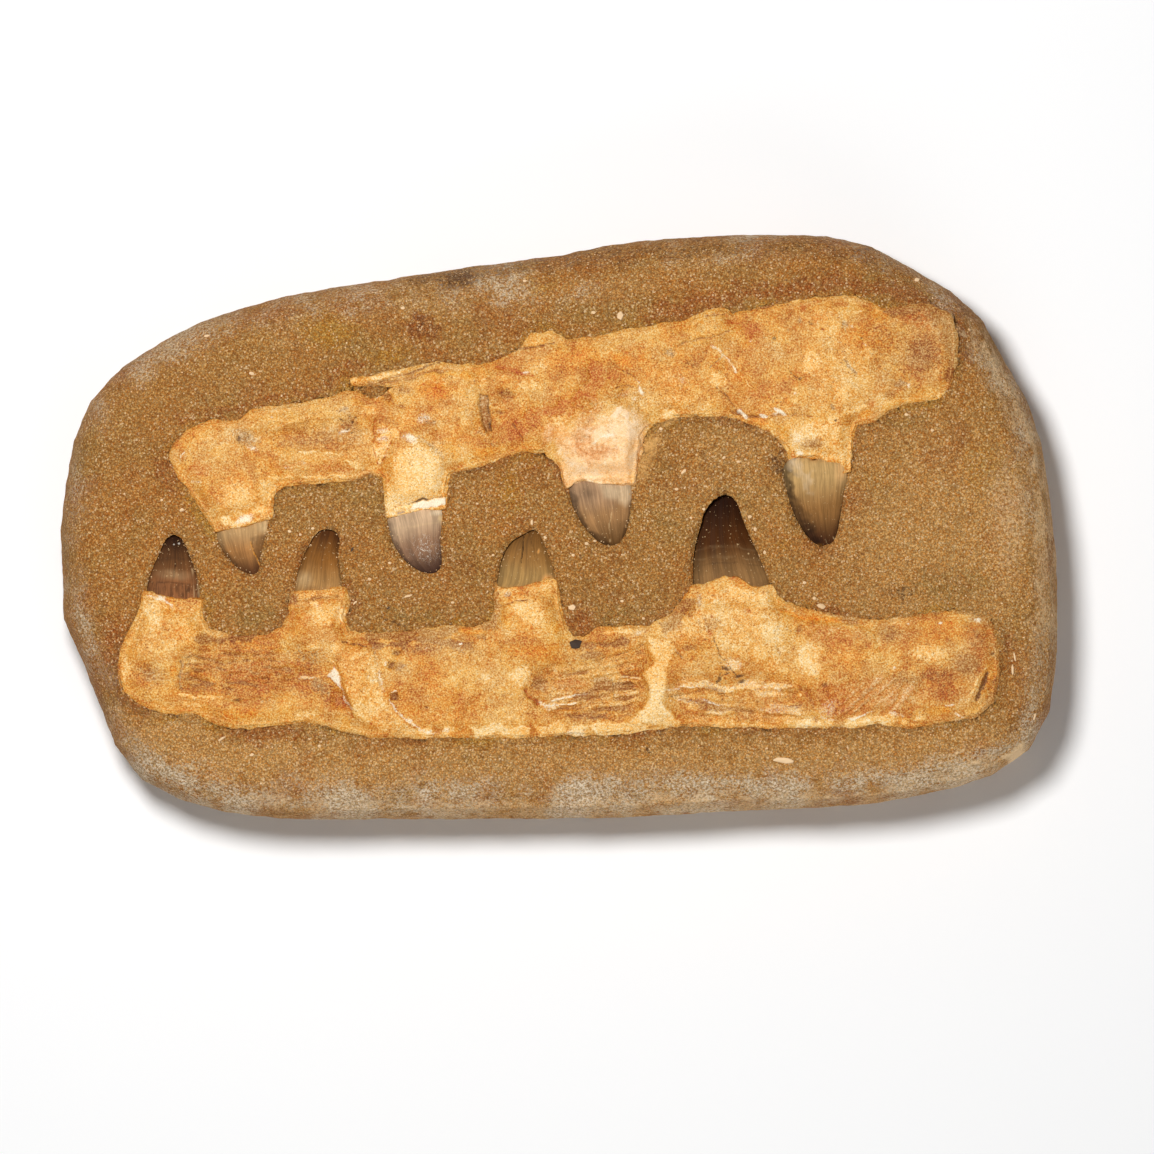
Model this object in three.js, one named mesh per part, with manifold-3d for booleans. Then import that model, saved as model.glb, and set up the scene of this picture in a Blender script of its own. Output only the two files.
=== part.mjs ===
// A fossil mosasaur jaw: upper and lower jaw bones with four teeth each, facing one another in a rounded
// block of sandy phosphate rock. Millimetres, +Z up: the block lies on its sawn underside with the bones on
// top, +X runs along the jaws and +Y from the lower jaw to the upper one. The origin is the middle of the
// block's underside.
import * as THREE from 'three';
import { mergeVertices } from 'three/addons/utils/BufferGeometryUtils.js';
import Module from 'manifold-3d';

const wasm = await Module();
wasm.setup();

// Driving dimensions
const block = { top: 46, sides: 60 };
const bone = { floor: 27, rim: 46.6, face: 49.3, bevel: 2.6, lip: 0.7, reliefStep: 5.4 };
const crown = { sides: 12, depthRatio: 0.78, underBone: 2.6 };
const gap = 0.32;

const colours = {
  rock: 0x94703f,
  bone: 0xe0a155,
  enamel: 0x6a5138,
};

// Seen from above, the block is a long rounded loaf shape, a little narrower at its left end.
const blockOutline = [
  [-175, -1], [-173, 15.5], [-170.5, 30], [-168, 39.5], [-160.5, 48], [-151.5, 57.5], [-139, 65.5],
  [-123.5, 73], [-106, 78.5], [-83.5, 83.5], [-55.5, 88], [-27.5, 92], [0, 95.5], [21.5, 100],
  [42, 101.5], [75, 103], [99.5, 101.5], [113.5, 97], [126.5, 89.5], [140.5, 81], [149.5, 71.5],
  [155, 60.5], [161.5, 49.5], [166.5, 40], [170, 24], [173.5, 0.5], [175, -20.5], [174.5, -43],
  [173, -62], [168, -75], [158, -84.5], [143.5, -91], [119, -96.5], [91, -99], [70, -99.5],
  [45.5, -101.5], [14.5, -102.5], [-27.5, -103], [-80, -103], [-109.5, -102], [-128.5, -97.5],
  [-142.5, -92], [-152.5, -82.5], [-158.5, -71.5], [-163.5, -56.5], [-170, -41.5], [-174.5, -30],
  [-174.5, -15],
];

// The block's flank from the underside to the top: height, and how far in it lies from the widest line.
const blockFlank = [
  [0, 12], [2.5, 6.5], [8, 2.4], [16, 0.4], [24, 0], [32, 1.2], [38, 3.6], [42, 8], [44.6, 14],
  [block.top, 23],
];

// The corner that is knocked off the block's lower right: a point on the break and the way it faces.
const chip = { at: [161, -81, 42], facing: [0.55, -0.62, 0.56], size: 30 };

// Each jaw bone with the tooth roots that are fused to it, seen from above.
const upperJawOutline = [
  [-119.8, -2], [-117, -1.2], [-113, -0.2], [-109, 0.2], [-105.5, 1.6], [-103, 2.7], [-100.5, 3.5],
  [-99.5, 10.5], [-96, 14], [-84, 15.5], [-72, 16], [-65, 18.5], [-61.5, 17], [-60.5, 9], [-60, 3],
  [-56, 4], [-50, 5], [-45, 5.8], [-39.2, 6.2], [-39.2, 12], [-38, 18.5], [-30.5, 20.5], [-21.5, 23],
  [-13, 26], [-5, 26], [0, 21.5], [2.6, 13.2], [5, 15], [9, 15.6], [15, 15], [20, 14.8], [26, 15.2],
  [28, 22.5], [29, 31], [32.5, 35.5], [39.5, 38.5], [50, 38.5], [61.5, 38], [69.5, 35], [76, 31],
  [79.5, 26.5], [80.5, 22.5], [84, 23.8], [90, 23.6], [95, 21.5], [99, 18.5], [101.5, 19], [102.5, 30],
  [104, 35.5], [110, 37], [115.5, 41], [124, 43.5], [133, 45], [136.5, 48.5], [138.5, 57.5],
  [138.5, 67], [136.5, 74], [130, 77], [120.5, 77], [112.5, 76], [107, 79], [99.5, 80.5], [89, 79.5],
  [76.5, 77.5], [65, 75], [60.5, 74], [57, 76], [52, 75.5], [43.5, 71.5], [33.5, 70], [21.5, 68],
  [11.5, 65.5], [2.5, 65], [-2.5, 68], [-10, 67], [-14, 61], [-23.5, 57], [-34, 56], [-41.5, 57],
  [-52, 55.5], [-63, 53], [-72.5, 51.5], [-72, 49.5], [-62.5, 49.5], [-57, 48.5], [-61.5, 45.5],
  [-66, 44], [-70.5, 47], [-75.5, 46.5], [-81.5, 44], [-91.5, 42.5], [-101.5, 41.5], [-107.5, 40],
  [-112, 37], [-120, 37], [-129.5, 33.5], [-134, 29], [-135.5, 24], [-133, 17.5], [-127, 9.5],
  [-123, 3.5],
];
const lowerJawOutline = [
  [-144.5, -23], [-142, -23.2], [-139, -24.2], [-135.5, -25.2], [-132, -25.8], [-128.5, -24.8],
  [-124.2, -25.6], [-124.5, -31.5], [-121.5, -36], [-112, -38], [-101.5, -38], [-96.5, -35.5],
  [-94, -30], [-92.8, -23], [-88, -22.6], [-80, -22.2], [-74.5, -21.3], [-73, -26.5], [-74.5, -31],
  [-72.5, -36.5], [-64, -37.5], [-52, -36.5], [-39, -34.5], [-29.5, -35.5], [-23.5, -33],
  [-22.4, -27.5], [-22.2, -20.5], [-19, -21.3], [-14, -21], [-10, -20.2], [-6, -19.6],
  [-3.4, -17.6], [-0.8, -18.8], [0.5, -26.5], [2.5, -33.5], [4.5, -38.5], [8.5, -38.5],
  [13, -35.5], [23, -35], [31.5, -34.5], [39.5, -30], [43.5, -25.5], [46, -21.6], [51.5, -20],
  [54.5, -19.3], [57.5, -17.6], [61, -17.2], [63.5, -18.6], [66.5, -20.6], [70, -21.2],
  [74.3, -20.4], [76.5, -24.5], [84, -28.5], [96, -31], [110, -32.5], [124, -31], [140, -29.5],
  [149.5, -32], [153, -39.5], [153.5, -50.5], [151.5, -60.5], [145, -66], [133, -68], [123, -70.5],
  [112, -68.5], [102, -70], [84, -70], [63, -70], [43, -69], [28, -71.5], [9, -72.5],
  [-20.5, -73.5], [-45, -73.5], [-66, -73.5], [-78, -70], [-87.5, -68], [-101.5, -69.5],
  [-112, -70], [-122.5, -67.5], [-126, -65.5], [-137.5, -65], [-145.5, -62], [-151.5, -57.5],
  [-153.5, -49.5], [-152.5, -42.5], [-148, -33.5], [-145.5, -28],
];

// What stands out of a bone's face or sinks into it: centre, two half widths, turn in degrees and height.
const upperJawRelief = [
  { at: [-112, 12], reach: [14, 15], turn: -20, rise: 1.5 }, // first root
  { at: [-106, 38], reach: [30, 4.5], turn: 5, rise: 0.9 }, // rib along the front's upper edge
  { at: [-88, 31], reach: [25, 6], turn: 4, rise: -1.6 }, // worn panel of the front
  { at: [-63, 31], reach: [3, 15], turn: 4, rise: -1.3 }, // crack behind the front
  { at: [-50, 20], reach: [12, 17], turn: 5, rise: 2 }, // second root
  { at: [-29, 45], reach: [4.5, 13], turn: -4, rise: 1.1 }, // bar
  { at: [-22, 38], reach: [3.5, 9], turn: 5, rise: -1.7 }, // slot beside the bar
  { at: [16, 31], reach: [15, 19], turn: 6, rise: 3 }, // third root
  { at: [51, 70], reach: [12, 7], turn: 8, rise: 1 }, // knob on the top edge
  { at: [66, 54], reach: [7, 20], turn: 20, rise: -0.9 }, // dip along the stepped edge
  { at: [90, 36], reach: [13, 18], turn: 0, rise: 1.8 }, // fourth root
  { at: [97, 60], reach: [14, 20], turn: 12, rise: 0.9 }, // column over it
  { at: [125, 60], reach: [12, 14], turn: 0, rise: -0.8 }, // worn right end
];
const lowerJawRelief = [
  { at: [-136, -40], reach: [14, 18], turn: 0, rise: 1.9 }, // first root
  { at: [-108, -50], reach: [24, 11], turn: -5, rise: -1.7 }, // worn trough
  { at: [-82, -33], reach: [12, 13], turn: 0, rise: 1.7 }, // second root
  { at: [-71, -54], reach: [6, 17], turn: 14, rise: 1.4 }, // strut
  { at: [-42, -53], reach: [19, 12], turn: 0, rise: 0.6 }, // mottled plate
  { at: [-11, -35], reach: [13, 15], turn: 0, rise: 1.9 }, // third root
  { at: [12, -54], reach: [22, 12], turn: 4, rise: -1.8 }, // first open panel
  { at: [34, -56], reach: [5, 17], turn: 0, rise: 1.3 }, // web between the panels
  { at: [63, -60], reach: [25, 9], turn: -3, rise: -1.9 }, // second open panel
  { at: [61, -35], reach: [18, 15], turn: 0, rise: 2.5 }, // fourth root
  { at: [118, -51], reach: [32, 15], turn: -2, rise: 1 }, // right plate
];

// Crowns: left and right edges from the root to just short of the tip, then the tip, all seen from above.
// crest is the height of the crown's back at the root and at the tip, which lies sunk in the rock.
const crowns = {
  upper_tooth_1: {
    left: [[-119.8, -2.5], [-118, -7], [-115, -11.5], [-111.5, -14.8], [-108, -16.6]],
    right: [[-100.5, 3], [-101.6, -1.5], [-103, -6.5], [-104, -11], [-104.4, -15.2]],
    tip: [-105.6, -17],
    crest: [47.6, 43.4],
  },
  upper_tooth_2: {
    left: [[-60, 2.5], [-59, -4.5], [-56.5, -9], [-53, -13], [-49, -15.6]],
    right: [[-40, 5.5], [-40.6, 0], [-41, -6], [-40.6, -10], [-40.4, -14.5]],
    tip: [-43.8, -17.5],
    crest: [48, 43.4],
  },
  upper_tooth_3: {
    left: [[2.8, 13], [4, 7.5], [6.8, 2], [10, -2.3], [13.8, -5.8]],
    right: [[26, 14.5], [25.8, 8.5], [25, 3], [24, -2.5], [21.5, -6]],
    tip: [18, -7.5],
    crest: [48, 42],
  },
  upper_tooth_4: {
    left: [[78, 20], [78.8, 11.5], [81.5, 4], [84.4, -1.5], [87.5, -5.5]],
    right: [[101, 20], [99.6, 11], [98.6, 4], [97.4, -2.5], [96, -6]],
    tip: [91.4, -8],
    crest: [47.6, 41],
  },
  lower_tooth_1: {
    left: [[-144.4, -23], [-143, -17.5], [-140.5, -11.5], [-138, -6.5], [-136, -3.4]],
    right: [[-124.3, -25.5], [-125.2, -18.5], [-127.4, -12], [-130, -6.5], [-132.2, -3.4]],
    tip: [-134.2, -2],
    crest: [47.4, 40.5],
  },
  lower_tooth_2: {
    left: [[-92.6, -23], [-91.4, -16], [-89, -9.5], [-86, -4.5], [-83, -1.4]],
    right: [[-74.7, -21.3], [-76, -16], [-76.8, -10.5], [-76.4, -5], [-77.6, -1.6]],
    tip: [-80.2, -0.1],
    crest: [47.4, 41.5],
  },
  lower_tooth_3: {
    left: [[-22.2, -20.5], [-21.4, -14.5], [-19.6, -8.6], [-16.5, -4.4], [-12, -2.2]],
    right: [[-0.8, -19], [-1.8, -14], [-3.6, -9], [-5.4, -4.4], [-7, -1.8]],
    tip: [-8.6, -0.3],
    crest: [47.4, 41.5],
  },
  lower_tooth_4: {
    left: [[46, -21.5], [46, -9], [48.4, 0], [51.8, 6.6], [54.6, 10.4]],
    right: [[74.3, -20.4], [70, -9.5], [65.8, -0.5], [62.4, 6.6], [59.8, 10.8]],
    tip: [57.4, 12],
    crest: [47.9, 39.5],
  },
};

const lerp = THREE.MathUtils.lerp;
const clamp = THREE.MathUtils.clamp;
const vector = ([x, y]) => new THREE.Vector2(x, y);

function meshOf(positions, index) {
  const geometry = new THREE.BufferGeometry();
  geometry.setAttribute('position', new THREE.Float32BufferAttribute(positions, 3));
  geometry.setIndex(index);
  return geometry;
}

// A solid for joining and cutting. The shape may come with all its faces turned in; they are turned out.
function solidOf(geometry) {
  const bare = geometry.clone();
  bare.deleteAttribute('normal');
  bare.deleteAttribute('uv');
  const merged = mergeVertices(bare, 1e-4);
  const corners = new Uint32Array(merged.index.array);
  const make = () => new wasm.Manifold(new wasm.Mesh({
    numProp: 3,
    vertProperties: merged.attributes.position.array,
    triVerts: corners,
  }));
  const solid = make();
  if (solid.volume() > 0) return solid;
  for (let i = 0; i < corners.length; i += 3) {
    [corners[i], corners[i + 1]] = [corners[i + 1], corners[i]];
  }
  return make();
}

function geometryOf(solid) {
  const mesh = solid.getMesh();
  const geometry = meshOf(Array.from(mesh.vertProperties), Array.from(mesh.triVerts));
  geometry.computeVertexNormals();
  return geometry;
}

// A closed mesh through rings of equally many points that go round to the left, with a cap at both ends.
function loft(rings) {
  const count = rings[0].length;
  const index = [];
  for (let ring = 0; ring < rings.length - 1; ring++) {
    for (let side = 0; side < count; side++) {
      const a = ring * count + side;
      const b = ring * count + ((side + 1) % count);
      index.push(a, b, a + count, b, b + count, a + count);
    }
  }
  const last = (rings.length - 1) * count;
  for (const [a, b, c] of THREE.ShapeUtils.triangulateShape(rings[0].map(vector), [])) {
    index.push(c, b, a, last + a, last + b, last + c);
  }
  return solidOf(meshOf(rings.flat(2), index));
}

// The same outline, going round to the left.
function turnedLeft(outline) {
  return THREE.ShapeUtils.area(outline.map(vector)) < 0 ? [...outline].reverse() : outline;
}

// Which way is out at each point of an outline that goes round to the left.
function outwardAt(outline, i) {
  const here = vector(outline[i]);
  const before = here.clone().sub(vector(outline[(i + outline.length - 1) % outline.length])).normalize();
  const after = vector(outline[(i + 1) % outline.length]).sub(here).normalize();
  const mean = before.clone().add(after).normalize();
  const stretch = Math.min(1.5, 1 / Math.max(0.5, mean.dot(before)));
  return new THREE.Vector2(mean.y, -mean.x).multiplyScalar(stretch);
}

// The outline moved outwards, or inwards by a negative distance, which may differ from point to point.
function grown(outline, distanceAt) {
  return outline.map(([x, y], i) => {
    const out = outwardAt(outline, i).multiplyScalar(distanceAt(i));
    return [x + out.x, y + out.y];
  });
}

// How far it is from one point of the outline to its neighbours.
function spacingAt(outline, i) {
  const here = vector(outline[i]);
  const before = vector(outline[(i + outline.length - 1) % outline.length]);
  const after = vector(outline[(i + 1) % outline.length]);
  return Math.min(here.distanceTo(before), here.distanceTo(after));
}

// How far it is from one point of the outline straight across to its other side.
function roomAcross(outline, i) {
  const from = vector(outline[i]);
  const way = outwardAt(outline, i).normalize().negate();
  let room = Infinity;
  for (let k = 0; k < outline.length; k++) {
    const next = (k + 1) % outline.length;
    if (k === i || next === i) continue;
    const start = vector(outline[k]).sub(from);
    const edge = vector(outline[next]).sub(vector(outline[k]));
    const cross = way.cross(edge);
    const along = start.cross(edge) / cross;
    const share = start.cross(way) / cross;
    if (share >= 0 && share <= 1 && along > 0) room = Math.min(room, along);
  }
  return room;
}

function distanceToSegment(point, [start, end]) {
  const span = vector(end).sub(vector(start));
  const offset = vector(point).sub(vector(start));
  const share = clamp(offset.dot(span) / span.lengthSq(), 0, 1);
  return offset.addScaledVector(span, -share).length();
}

const rootLines = Object.values(crowns).map(({ left, right }) => [left[0], right[0]]);
const nearCrown = (point) => rootLines.some((line) => distanceToSegment(point, line) < 3.5);

// The rock: its outline drawn in along the flank. The worn slope round the top is wide along the long
// sides and narrow at the ends.
function blockSolid() {
  const points = blockOutline.map(([x, y]) => new THREE.Vector3(x, y, 0));
  const curve = new THREE.CatmullRomCurve3(points, true, 'centripetal');
  const spaced = curve.getSpacedPoints(block.sides).slice(0, block.sides);
  const rim = turnedLeft(spaced.map(({ x, y }) => [x, y]));
  const rings = blockFlank.map(([height, inset], ring) => rim.map(([x, y], side) => {
    const angle = Math.atan2(y, x);
    const slope = 1 + 0.25 * Math.sin(2 * angle - 1.9) + 0.1 * Math.sin(5 * angle + 0.4);
    const dent = inset > 0 ? 0.35 * Math.sin(3.1 * side + 1.7 * ring) : 0;
    const share = 1 - (inset * slope + Math.abs(dent)) / Math.hypot(x, y);
    return [x * share, y * share, height];
  }));
  return loft(rings).subtract(chipSolid());
}

function chipSolid() {
  const box = new THREE.BoxGeometry(chip.size, chip.size, chip.size);
  const facing = new THREE.Vector3(...chip.facing).normalize();
  box.translate(0, 0, chip.size / 2);
  box.applyQuaternion(new THREE.Quaternion().setFromUnitVectors(new THREE.Vector3(0, 0, 1), facing));
  box.translate(...chip.at);
  return solidOf(box);
}

// Height of a bone's face: each form of the relief has a flat middle and falls off towards its edge.
function faceHeight(relief, x, y) {
  return bone.face + relief.reduce((sum, { at, reach, turn, rise }) => {
    const offset = new THREE.Vector2(x - at[0], y - at[1]);
    offset.rotateAround(new THREE.Vector2(), -THREE.MathUtils.degToRad(turn));
    const away = (offset.x / reach[0]) ** 2 + (offset.y / reach[1]) ** 2;
    return sum + rise * Math.max(0, 1 - away ** 2);
  }, 0);
}

// Everything under a bone's face, as a box whose top is a grid of heights.
function underFace(outline, relief) {
  const box = new THREE.Box2().setFromPoints(outline.map(vector)).expandByScalar(bone.reliefStep / 2);
  const size = box.getSize(new THREE.Vector2());
  const columns = Math.ceil(size.x / bone.reliefStep);
  const rows = Math.ceil(size.y / bone.reliefStep);
  const plane = new THREE.BoxGeometry(size.x, size.y, 2, columns, rows, 1);
  const centre = box.getCenter(new THREE.Vector2());
  plane.translate(centre.x, centre.y, 0);
  const corners = plane.attributes.position;
  for (let i = 0; i < corners.count; i++) {
    const isTop = corners.getZ(i) > 0;
    corners.setZ(i, isTop ? faceHeight(relief, corners.getX(i), corners.getY(i)) : bone.floor - 5);
  }
  return solidOf(plane);
}

// A bone: its outline as an upright wall with a bevelled rim, cut off at its face.
function boneSolid(points, relief) {
  const outline = turnedLeft(points);
  const insets = outline.map((point, i) => {
    const most = nearCrown(point) ? bone.lip : bone.bevel;
    return Math.min(most, 0.36 * roomAcross(outline, i), 0.7 * spacingAt(outline, i));
  });
  const ring = (share, z) => grown(outline, (i) => -share * insets[i]).map(([x, y]) => [x, y, z]);
  const wall = loft([
    ring(0, bone.floor), ring(0, bone.rim), ring(0.45, lerp(bone.rim, bone.face, 0.7)),
    ring(1.1, bone.face + 5),
  ]);
  return wall.intersect(underFace(outline, relief));
}

// An upright prism on an outline, for the pocket that a bone lies in.
function pocketSolid(points) {
  const outline = grown(turnedLeft(points), () => gap);
  return loft([bone.floor - gap, block.top + 5].map((z) => outline.map(([x, y]) => [x, y, z])));
}

// A crown: oval sections from under the edge of its root to the tip.
function crownSolid({ left, right, tip, crest }, extra = 0) {
  const lefts = left.map(vector);
  const rights = right.map(vector);
  const point = vector(tip);
  const middle = (i) => lefts[i].clone().add(rights[i]).multiplyScalar(0.5);
  const reach = middle(0).distanceTo(point);
  const back = middle(0).sub(point).normalize();
  const section = (i, behind) => {
    const centre = middle(i).addScaledVector(back, behind);
    const half = lefts[i].clone().sub(rights[i]).multiplyScalar(0.5);
    const width = half.length();
    const depth = width * crown.depthRatio;
    const along = 1 - middle(i).distanceTo(point) / reach;
    const axis = lerp(crest[0], crest[1], along ** 1.3) - depth;
    return Array.from({ length: crown.sides }, (_, side) => {
      const angle = (2 * Math.PI * side) / crown.sides;
      const across = (1 + extra / width) * Math.cos(angle);
      const up = (depth + extra) * Math.sin(angle);
      return [centre.x + half.x * across, centre.y + half.y * across, axis + up];
    });
  };
  const rings = [section(0, crown.underBone + extra), ...lefts.map((_, i) => section(i, 0))];
  const end = point.clone().addScaledVector(back, -extra);
  return fanned(rings, [end.x, end.y, crest[1] - 1.2]);
}

// Rings that stand upright, closed by a flat fan behind the first ring and a point before the last one.
function fanned(rings, point) {
  const count = rings[0].length;
  const index = [];
  const pointAt = rings.length * count;
  for (let side = 0; side < count; side++) {
    const next = (side + 1) % count;
    for (let ring = 0; ring < rings.length - 1; ring++) {
      const a = ring * count + side;
      const b = ring * count + next;
      index.push(a, b, a + count, b, b + count, a + count);
    }
    const last = (rings.length - 1) * count;
    index.push(last + side, last + next, pointAt);
    if (side > 0 && next > 0) index.push(0, next, side);
  }
  return solidOf(meshOf([...rings.flat(2), ...point], index));
}

// The hollow that was cleared round a crown: a tight cut that follows its edge and opens a little upwards.
function hollowSolid({ left, right, tip, crest }) {
  const toRoot = Math.sign(left[0][1] - tip[1]) * (crown.underBone + gap);
  const behind = [right[0], left[0]].map(([x, y]) => [x, y + toRoot]);
  const outline = turnedLeft([...left, tip, ...[...right].reverse(), ...behind]);
  const alongOf = ([, y]) => clamp((left[0][1] - y) / (left[0][1] - tip[1]), 0, 1);
  const halfWidth = Math.abs(right[0][0] - left[0][0]) / 2;
  const seatOf = (point) => {
    const along = alongOf(point);
    return lerp(crest[0], crest[1], along ** 1.3) - lerp(0.6 * halfWidth, 1.2, along);
  };
  const lower = grown(outline, () => gap);
  const upper = grown(outline, (i) => gap + 0.4 + 0.12 * (block.top - seatOf(outline[i])));
  return loft([
    lower.map(([x, y], i) => [x, y, seatOf(outline[i])]),
    upper.map(([x, y]) => [x, y, block.top + 2]),
  ]);
}

const allCrowns = Object.values(crowns);
const sockets = allCrowns.map((shape) => crownSolid(shape, gap));
const withoutCrowns = (solid) => sockets.reduce((rest, socket) => rest.subtract(socket), solid);

function rockSolid() {
  const cleared = [...allCrowns.map(hollowSolid), pocketSolid(upperJawOutline), pocketSolid(lowerJawOutline)];
  return withoutCrowns(cleared.reduce((rest, hollow) => rest.subtract(hollow), blockSolid()));
}

function mesh(name, solid, colour, roughness) {
  const material = new THREE.MeshStandardMaterial({ color: colour, roughness, metalness: 0 });
  const made = new THREE.Mesh(geometryOf(solid), material);
  made.name = name;
  return made;
}

const fossil = new THREE.Group();
fossil.add(mesh('matrix_block', rockSolid(), colours.rock, 0.95));
fossil.add(mesh(
  'upper_jaw_bone', withoutCrowns(boneSolid(upperJawOutline, upperJawRelief)), colours.bone, 0.7,
));
fossil.add(mesh(
  'lower_jaw_bone', withoutCrowns(boneSolid(lowerJawOutline, lowerJawRelief)), colours.bone, 0.7,
));
for (const [name, shape] of Object.entries(crowns)) {
  fossil.add(mesh(name, crownSolid(shape), colours.enamel, 0.3));
}

export default fossil;
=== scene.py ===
import math
import random

import bmesh
import bpy
import numpy as np
from mathutils import Matrix, Vector
from mathutils.bvhtree import BVHTree
from mathutils.kdtree import KDTree


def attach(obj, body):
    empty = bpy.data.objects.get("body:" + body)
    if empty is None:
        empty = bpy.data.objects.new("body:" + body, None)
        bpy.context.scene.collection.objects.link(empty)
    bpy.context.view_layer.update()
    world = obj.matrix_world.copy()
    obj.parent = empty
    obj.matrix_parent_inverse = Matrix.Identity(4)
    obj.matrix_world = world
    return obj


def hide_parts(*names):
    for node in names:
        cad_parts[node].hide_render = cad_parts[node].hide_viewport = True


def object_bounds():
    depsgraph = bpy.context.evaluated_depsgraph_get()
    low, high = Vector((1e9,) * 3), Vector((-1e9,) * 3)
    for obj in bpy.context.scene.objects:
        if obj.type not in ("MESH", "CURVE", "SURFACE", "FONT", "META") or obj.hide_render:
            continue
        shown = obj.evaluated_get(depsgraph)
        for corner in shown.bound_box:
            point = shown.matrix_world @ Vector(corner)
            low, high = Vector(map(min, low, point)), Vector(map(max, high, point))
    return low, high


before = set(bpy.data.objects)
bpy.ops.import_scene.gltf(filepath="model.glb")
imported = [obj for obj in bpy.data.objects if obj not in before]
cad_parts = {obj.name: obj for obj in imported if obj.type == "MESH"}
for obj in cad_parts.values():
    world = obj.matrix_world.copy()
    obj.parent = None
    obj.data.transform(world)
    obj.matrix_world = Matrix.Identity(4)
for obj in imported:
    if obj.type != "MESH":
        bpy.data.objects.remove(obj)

# A fossil mosasaur jaw in its block of sandy rock, seen from straight above.
# Lists of places and sizes below are in millimetres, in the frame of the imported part.

mm = 0.001
scene = bpy.context.scene
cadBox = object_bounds()


# Camera, light and floor

studio = {
    "middle": (6.3, -17.6),     # what the picture is centred on
    "width": 402.3,             # how much the picture shows across, at focusHeight
    "focusHeight": 38,
    "distance": 9000,
    "sensor": 36,
    "farthest": 40000,          # nothing beyond this is drawn
    "floorReach": 6000,
    "floorGap": 0.4,            # how far the floor lies under the rest plane
    "floorColor": (0.96, 0.96, 0.96),
    "keyFrom": (-270, 360, 1430),
    "keySize": 360,
    "keyPower": 20.6,
    "fillFrom": (520, -1250, 420),
    "fillSize": 1600,
    "fillPower": 7.6,
    "skyStrength": 0.12,
}


def addCamera():
    lens = bpy.data.cameras.new("camera")
    lens.sensor_width = studio["sensor"]
    lens.lens = lens.sensor_width * studio["distance"] / studio["width"]
    lens.clip_end = studio["farthest"] * mm
    camera = bpy.data.objects.new("camera", lens)
    x, y = studio["middle"]
    camera.location = Vector((x, y, studio["focusHeight"] + studio["distance"])) * mm
    scene.collection.objects.link(camera)
    scene.camera = camera


def addAreaLight(name, place, size, power):
    light = bpy.data.lights.new(name, "AREA")
    light.shape = "DISK"
    light.size = size * mm
    light.energy = power
    lamp = bpy.data.objects.new(name, light)
    lamp.location = Vector(place) * mm
    lamp.rotation_euler = lamp.location.to_track_quat("Z", "Y").to_euler()
    scene.collection.objects.link(lamp)


def addFloor():
    bm = bmesh.new()
    bmesh.ops.create_grid(bm, x_segments=1, y_segments=1, size=studio["floorReach"] * mm)
    bmesh.ops.translate(bm, verts=bm.verts, vec=(0, 0, -studio["floorGap"] * mm))
    mesh = bpy.data.meshes.new("floor")
    bm.to_mesh(mesh)
    bm.free()
    floor = bpy.data.objects.new("floor", mesh)
    scene.collection.objects.link(floor)
    material = bpy.data.materials.new("paleFloor")
    material.use_nodes = True
    shader = material.node_tree.nodes["Principled BSDF"]
    shader.inputs["Base Color"].default_value = (*studio["floorColor"], 1)
    shader.inputs["Roughness"].default_value = 0.9
    shader.inputs["Specular IOR Level"].default_value = 0.1
    mesh.materials.append(material)


addCamera()
addAreaLight("keyLight", studio["keyFrom"], studio["keySize"], studio["keyPower"])
addAreaLight("fillLight", studio["fillFrom"], studio["fillSize"], studio["fillPower"])
addFloor()
scene.world = bpy.data.worlds.new("studioSky")
scene.world.use_nodes = True
sky = scene.world.node_tree.nodes["Background"]
sky.inputs["Color"].default_value = (1, 1, 1, 1)
sky.inputs["Strength"].default_value = studio["skyStrength"]
scene.view_settings.view_transform = "Standard"
print("studio ready")


# Helpers on meshes

def copyOfNode(nodeName, pieceName):
    bm = bmesh.new()
    bm.from_mesh(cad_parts[nodeName].data)
    bmesh.ops.remove_doubles(bm, verts=bm.verts, dist=0.01 * mm)
    mesh = bpy.data.meshes.new(pieceName)
    bm.to_mesh(mesh)
    bm.free()
    piece = bpy.data.objects.new(pieceName, mesh)
    scene.collection.objects.link(piece)
    return piece


def applyModifiers(piece):
    bpy.context.view_layer.update()
    evaluated = piece.evaluated_get(bpy.context.evaluated_depsgraph_get())
    finished = bpy.data.meshes.new_from_object(evaluated)
    piece.modifiers.clear()
    before = piece.data
    name = before.name
    piece.data = finished
    bpy.data.meshes.remove(before)
    finished.name = name


def remesh(piece, voxel):
    modifier = piece.modifiers.new("remesh", "REMESH")
    modifier.mode = "VOXEL"
    modifier.voxel_size = voxel * mm
    modifier.use_smooth_shade = True
    applyModifiers(piece)


def subdivide(piece, levels):
    modifier = piece.modifiers.new("subdivision", "SUBSURF")
    modifier.levels = levels
    modifier.render_levels = levels
    applyModifiers(piece)


# How strongly a vertex group steers the thinning.
thinningFactor = 10


# Thins out the faces whose vertices have a share above 0, down to a ratio of all faces.
def thinOut(piece, share, ratio):
    group = piece.vertex_groups.new(name="outOfSight")
    for i in np.nonzero(share > 0)[0]:
        group.add([int(i)], float(share[i]), "REPLACE")
    modifier = piece.modifiers.new("thinOut", "DECIMATE")
    modifier.ratio = ratio
    modifier.vertex_group = group.name
    modifier.vertex_group_factor = thinningFactor
    applyModifiers(piece)
    piece.vertex_groups.clear()


mostTriangles = 190000


# Thins a finished piece evenly, where it has more triangles than mostTriangles.
def thinToLimit(piece):
    triangles = sum(len(face.vertices) - 2 for face in piece.data.polygons)
    if triangles > mostTriangles:
        modifier = piece.modifiers.new("thinToLimit", "DECIMATE")
        modifier.ratio = mostTriangles / triangles
        applyModifiers(piece)


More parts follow.
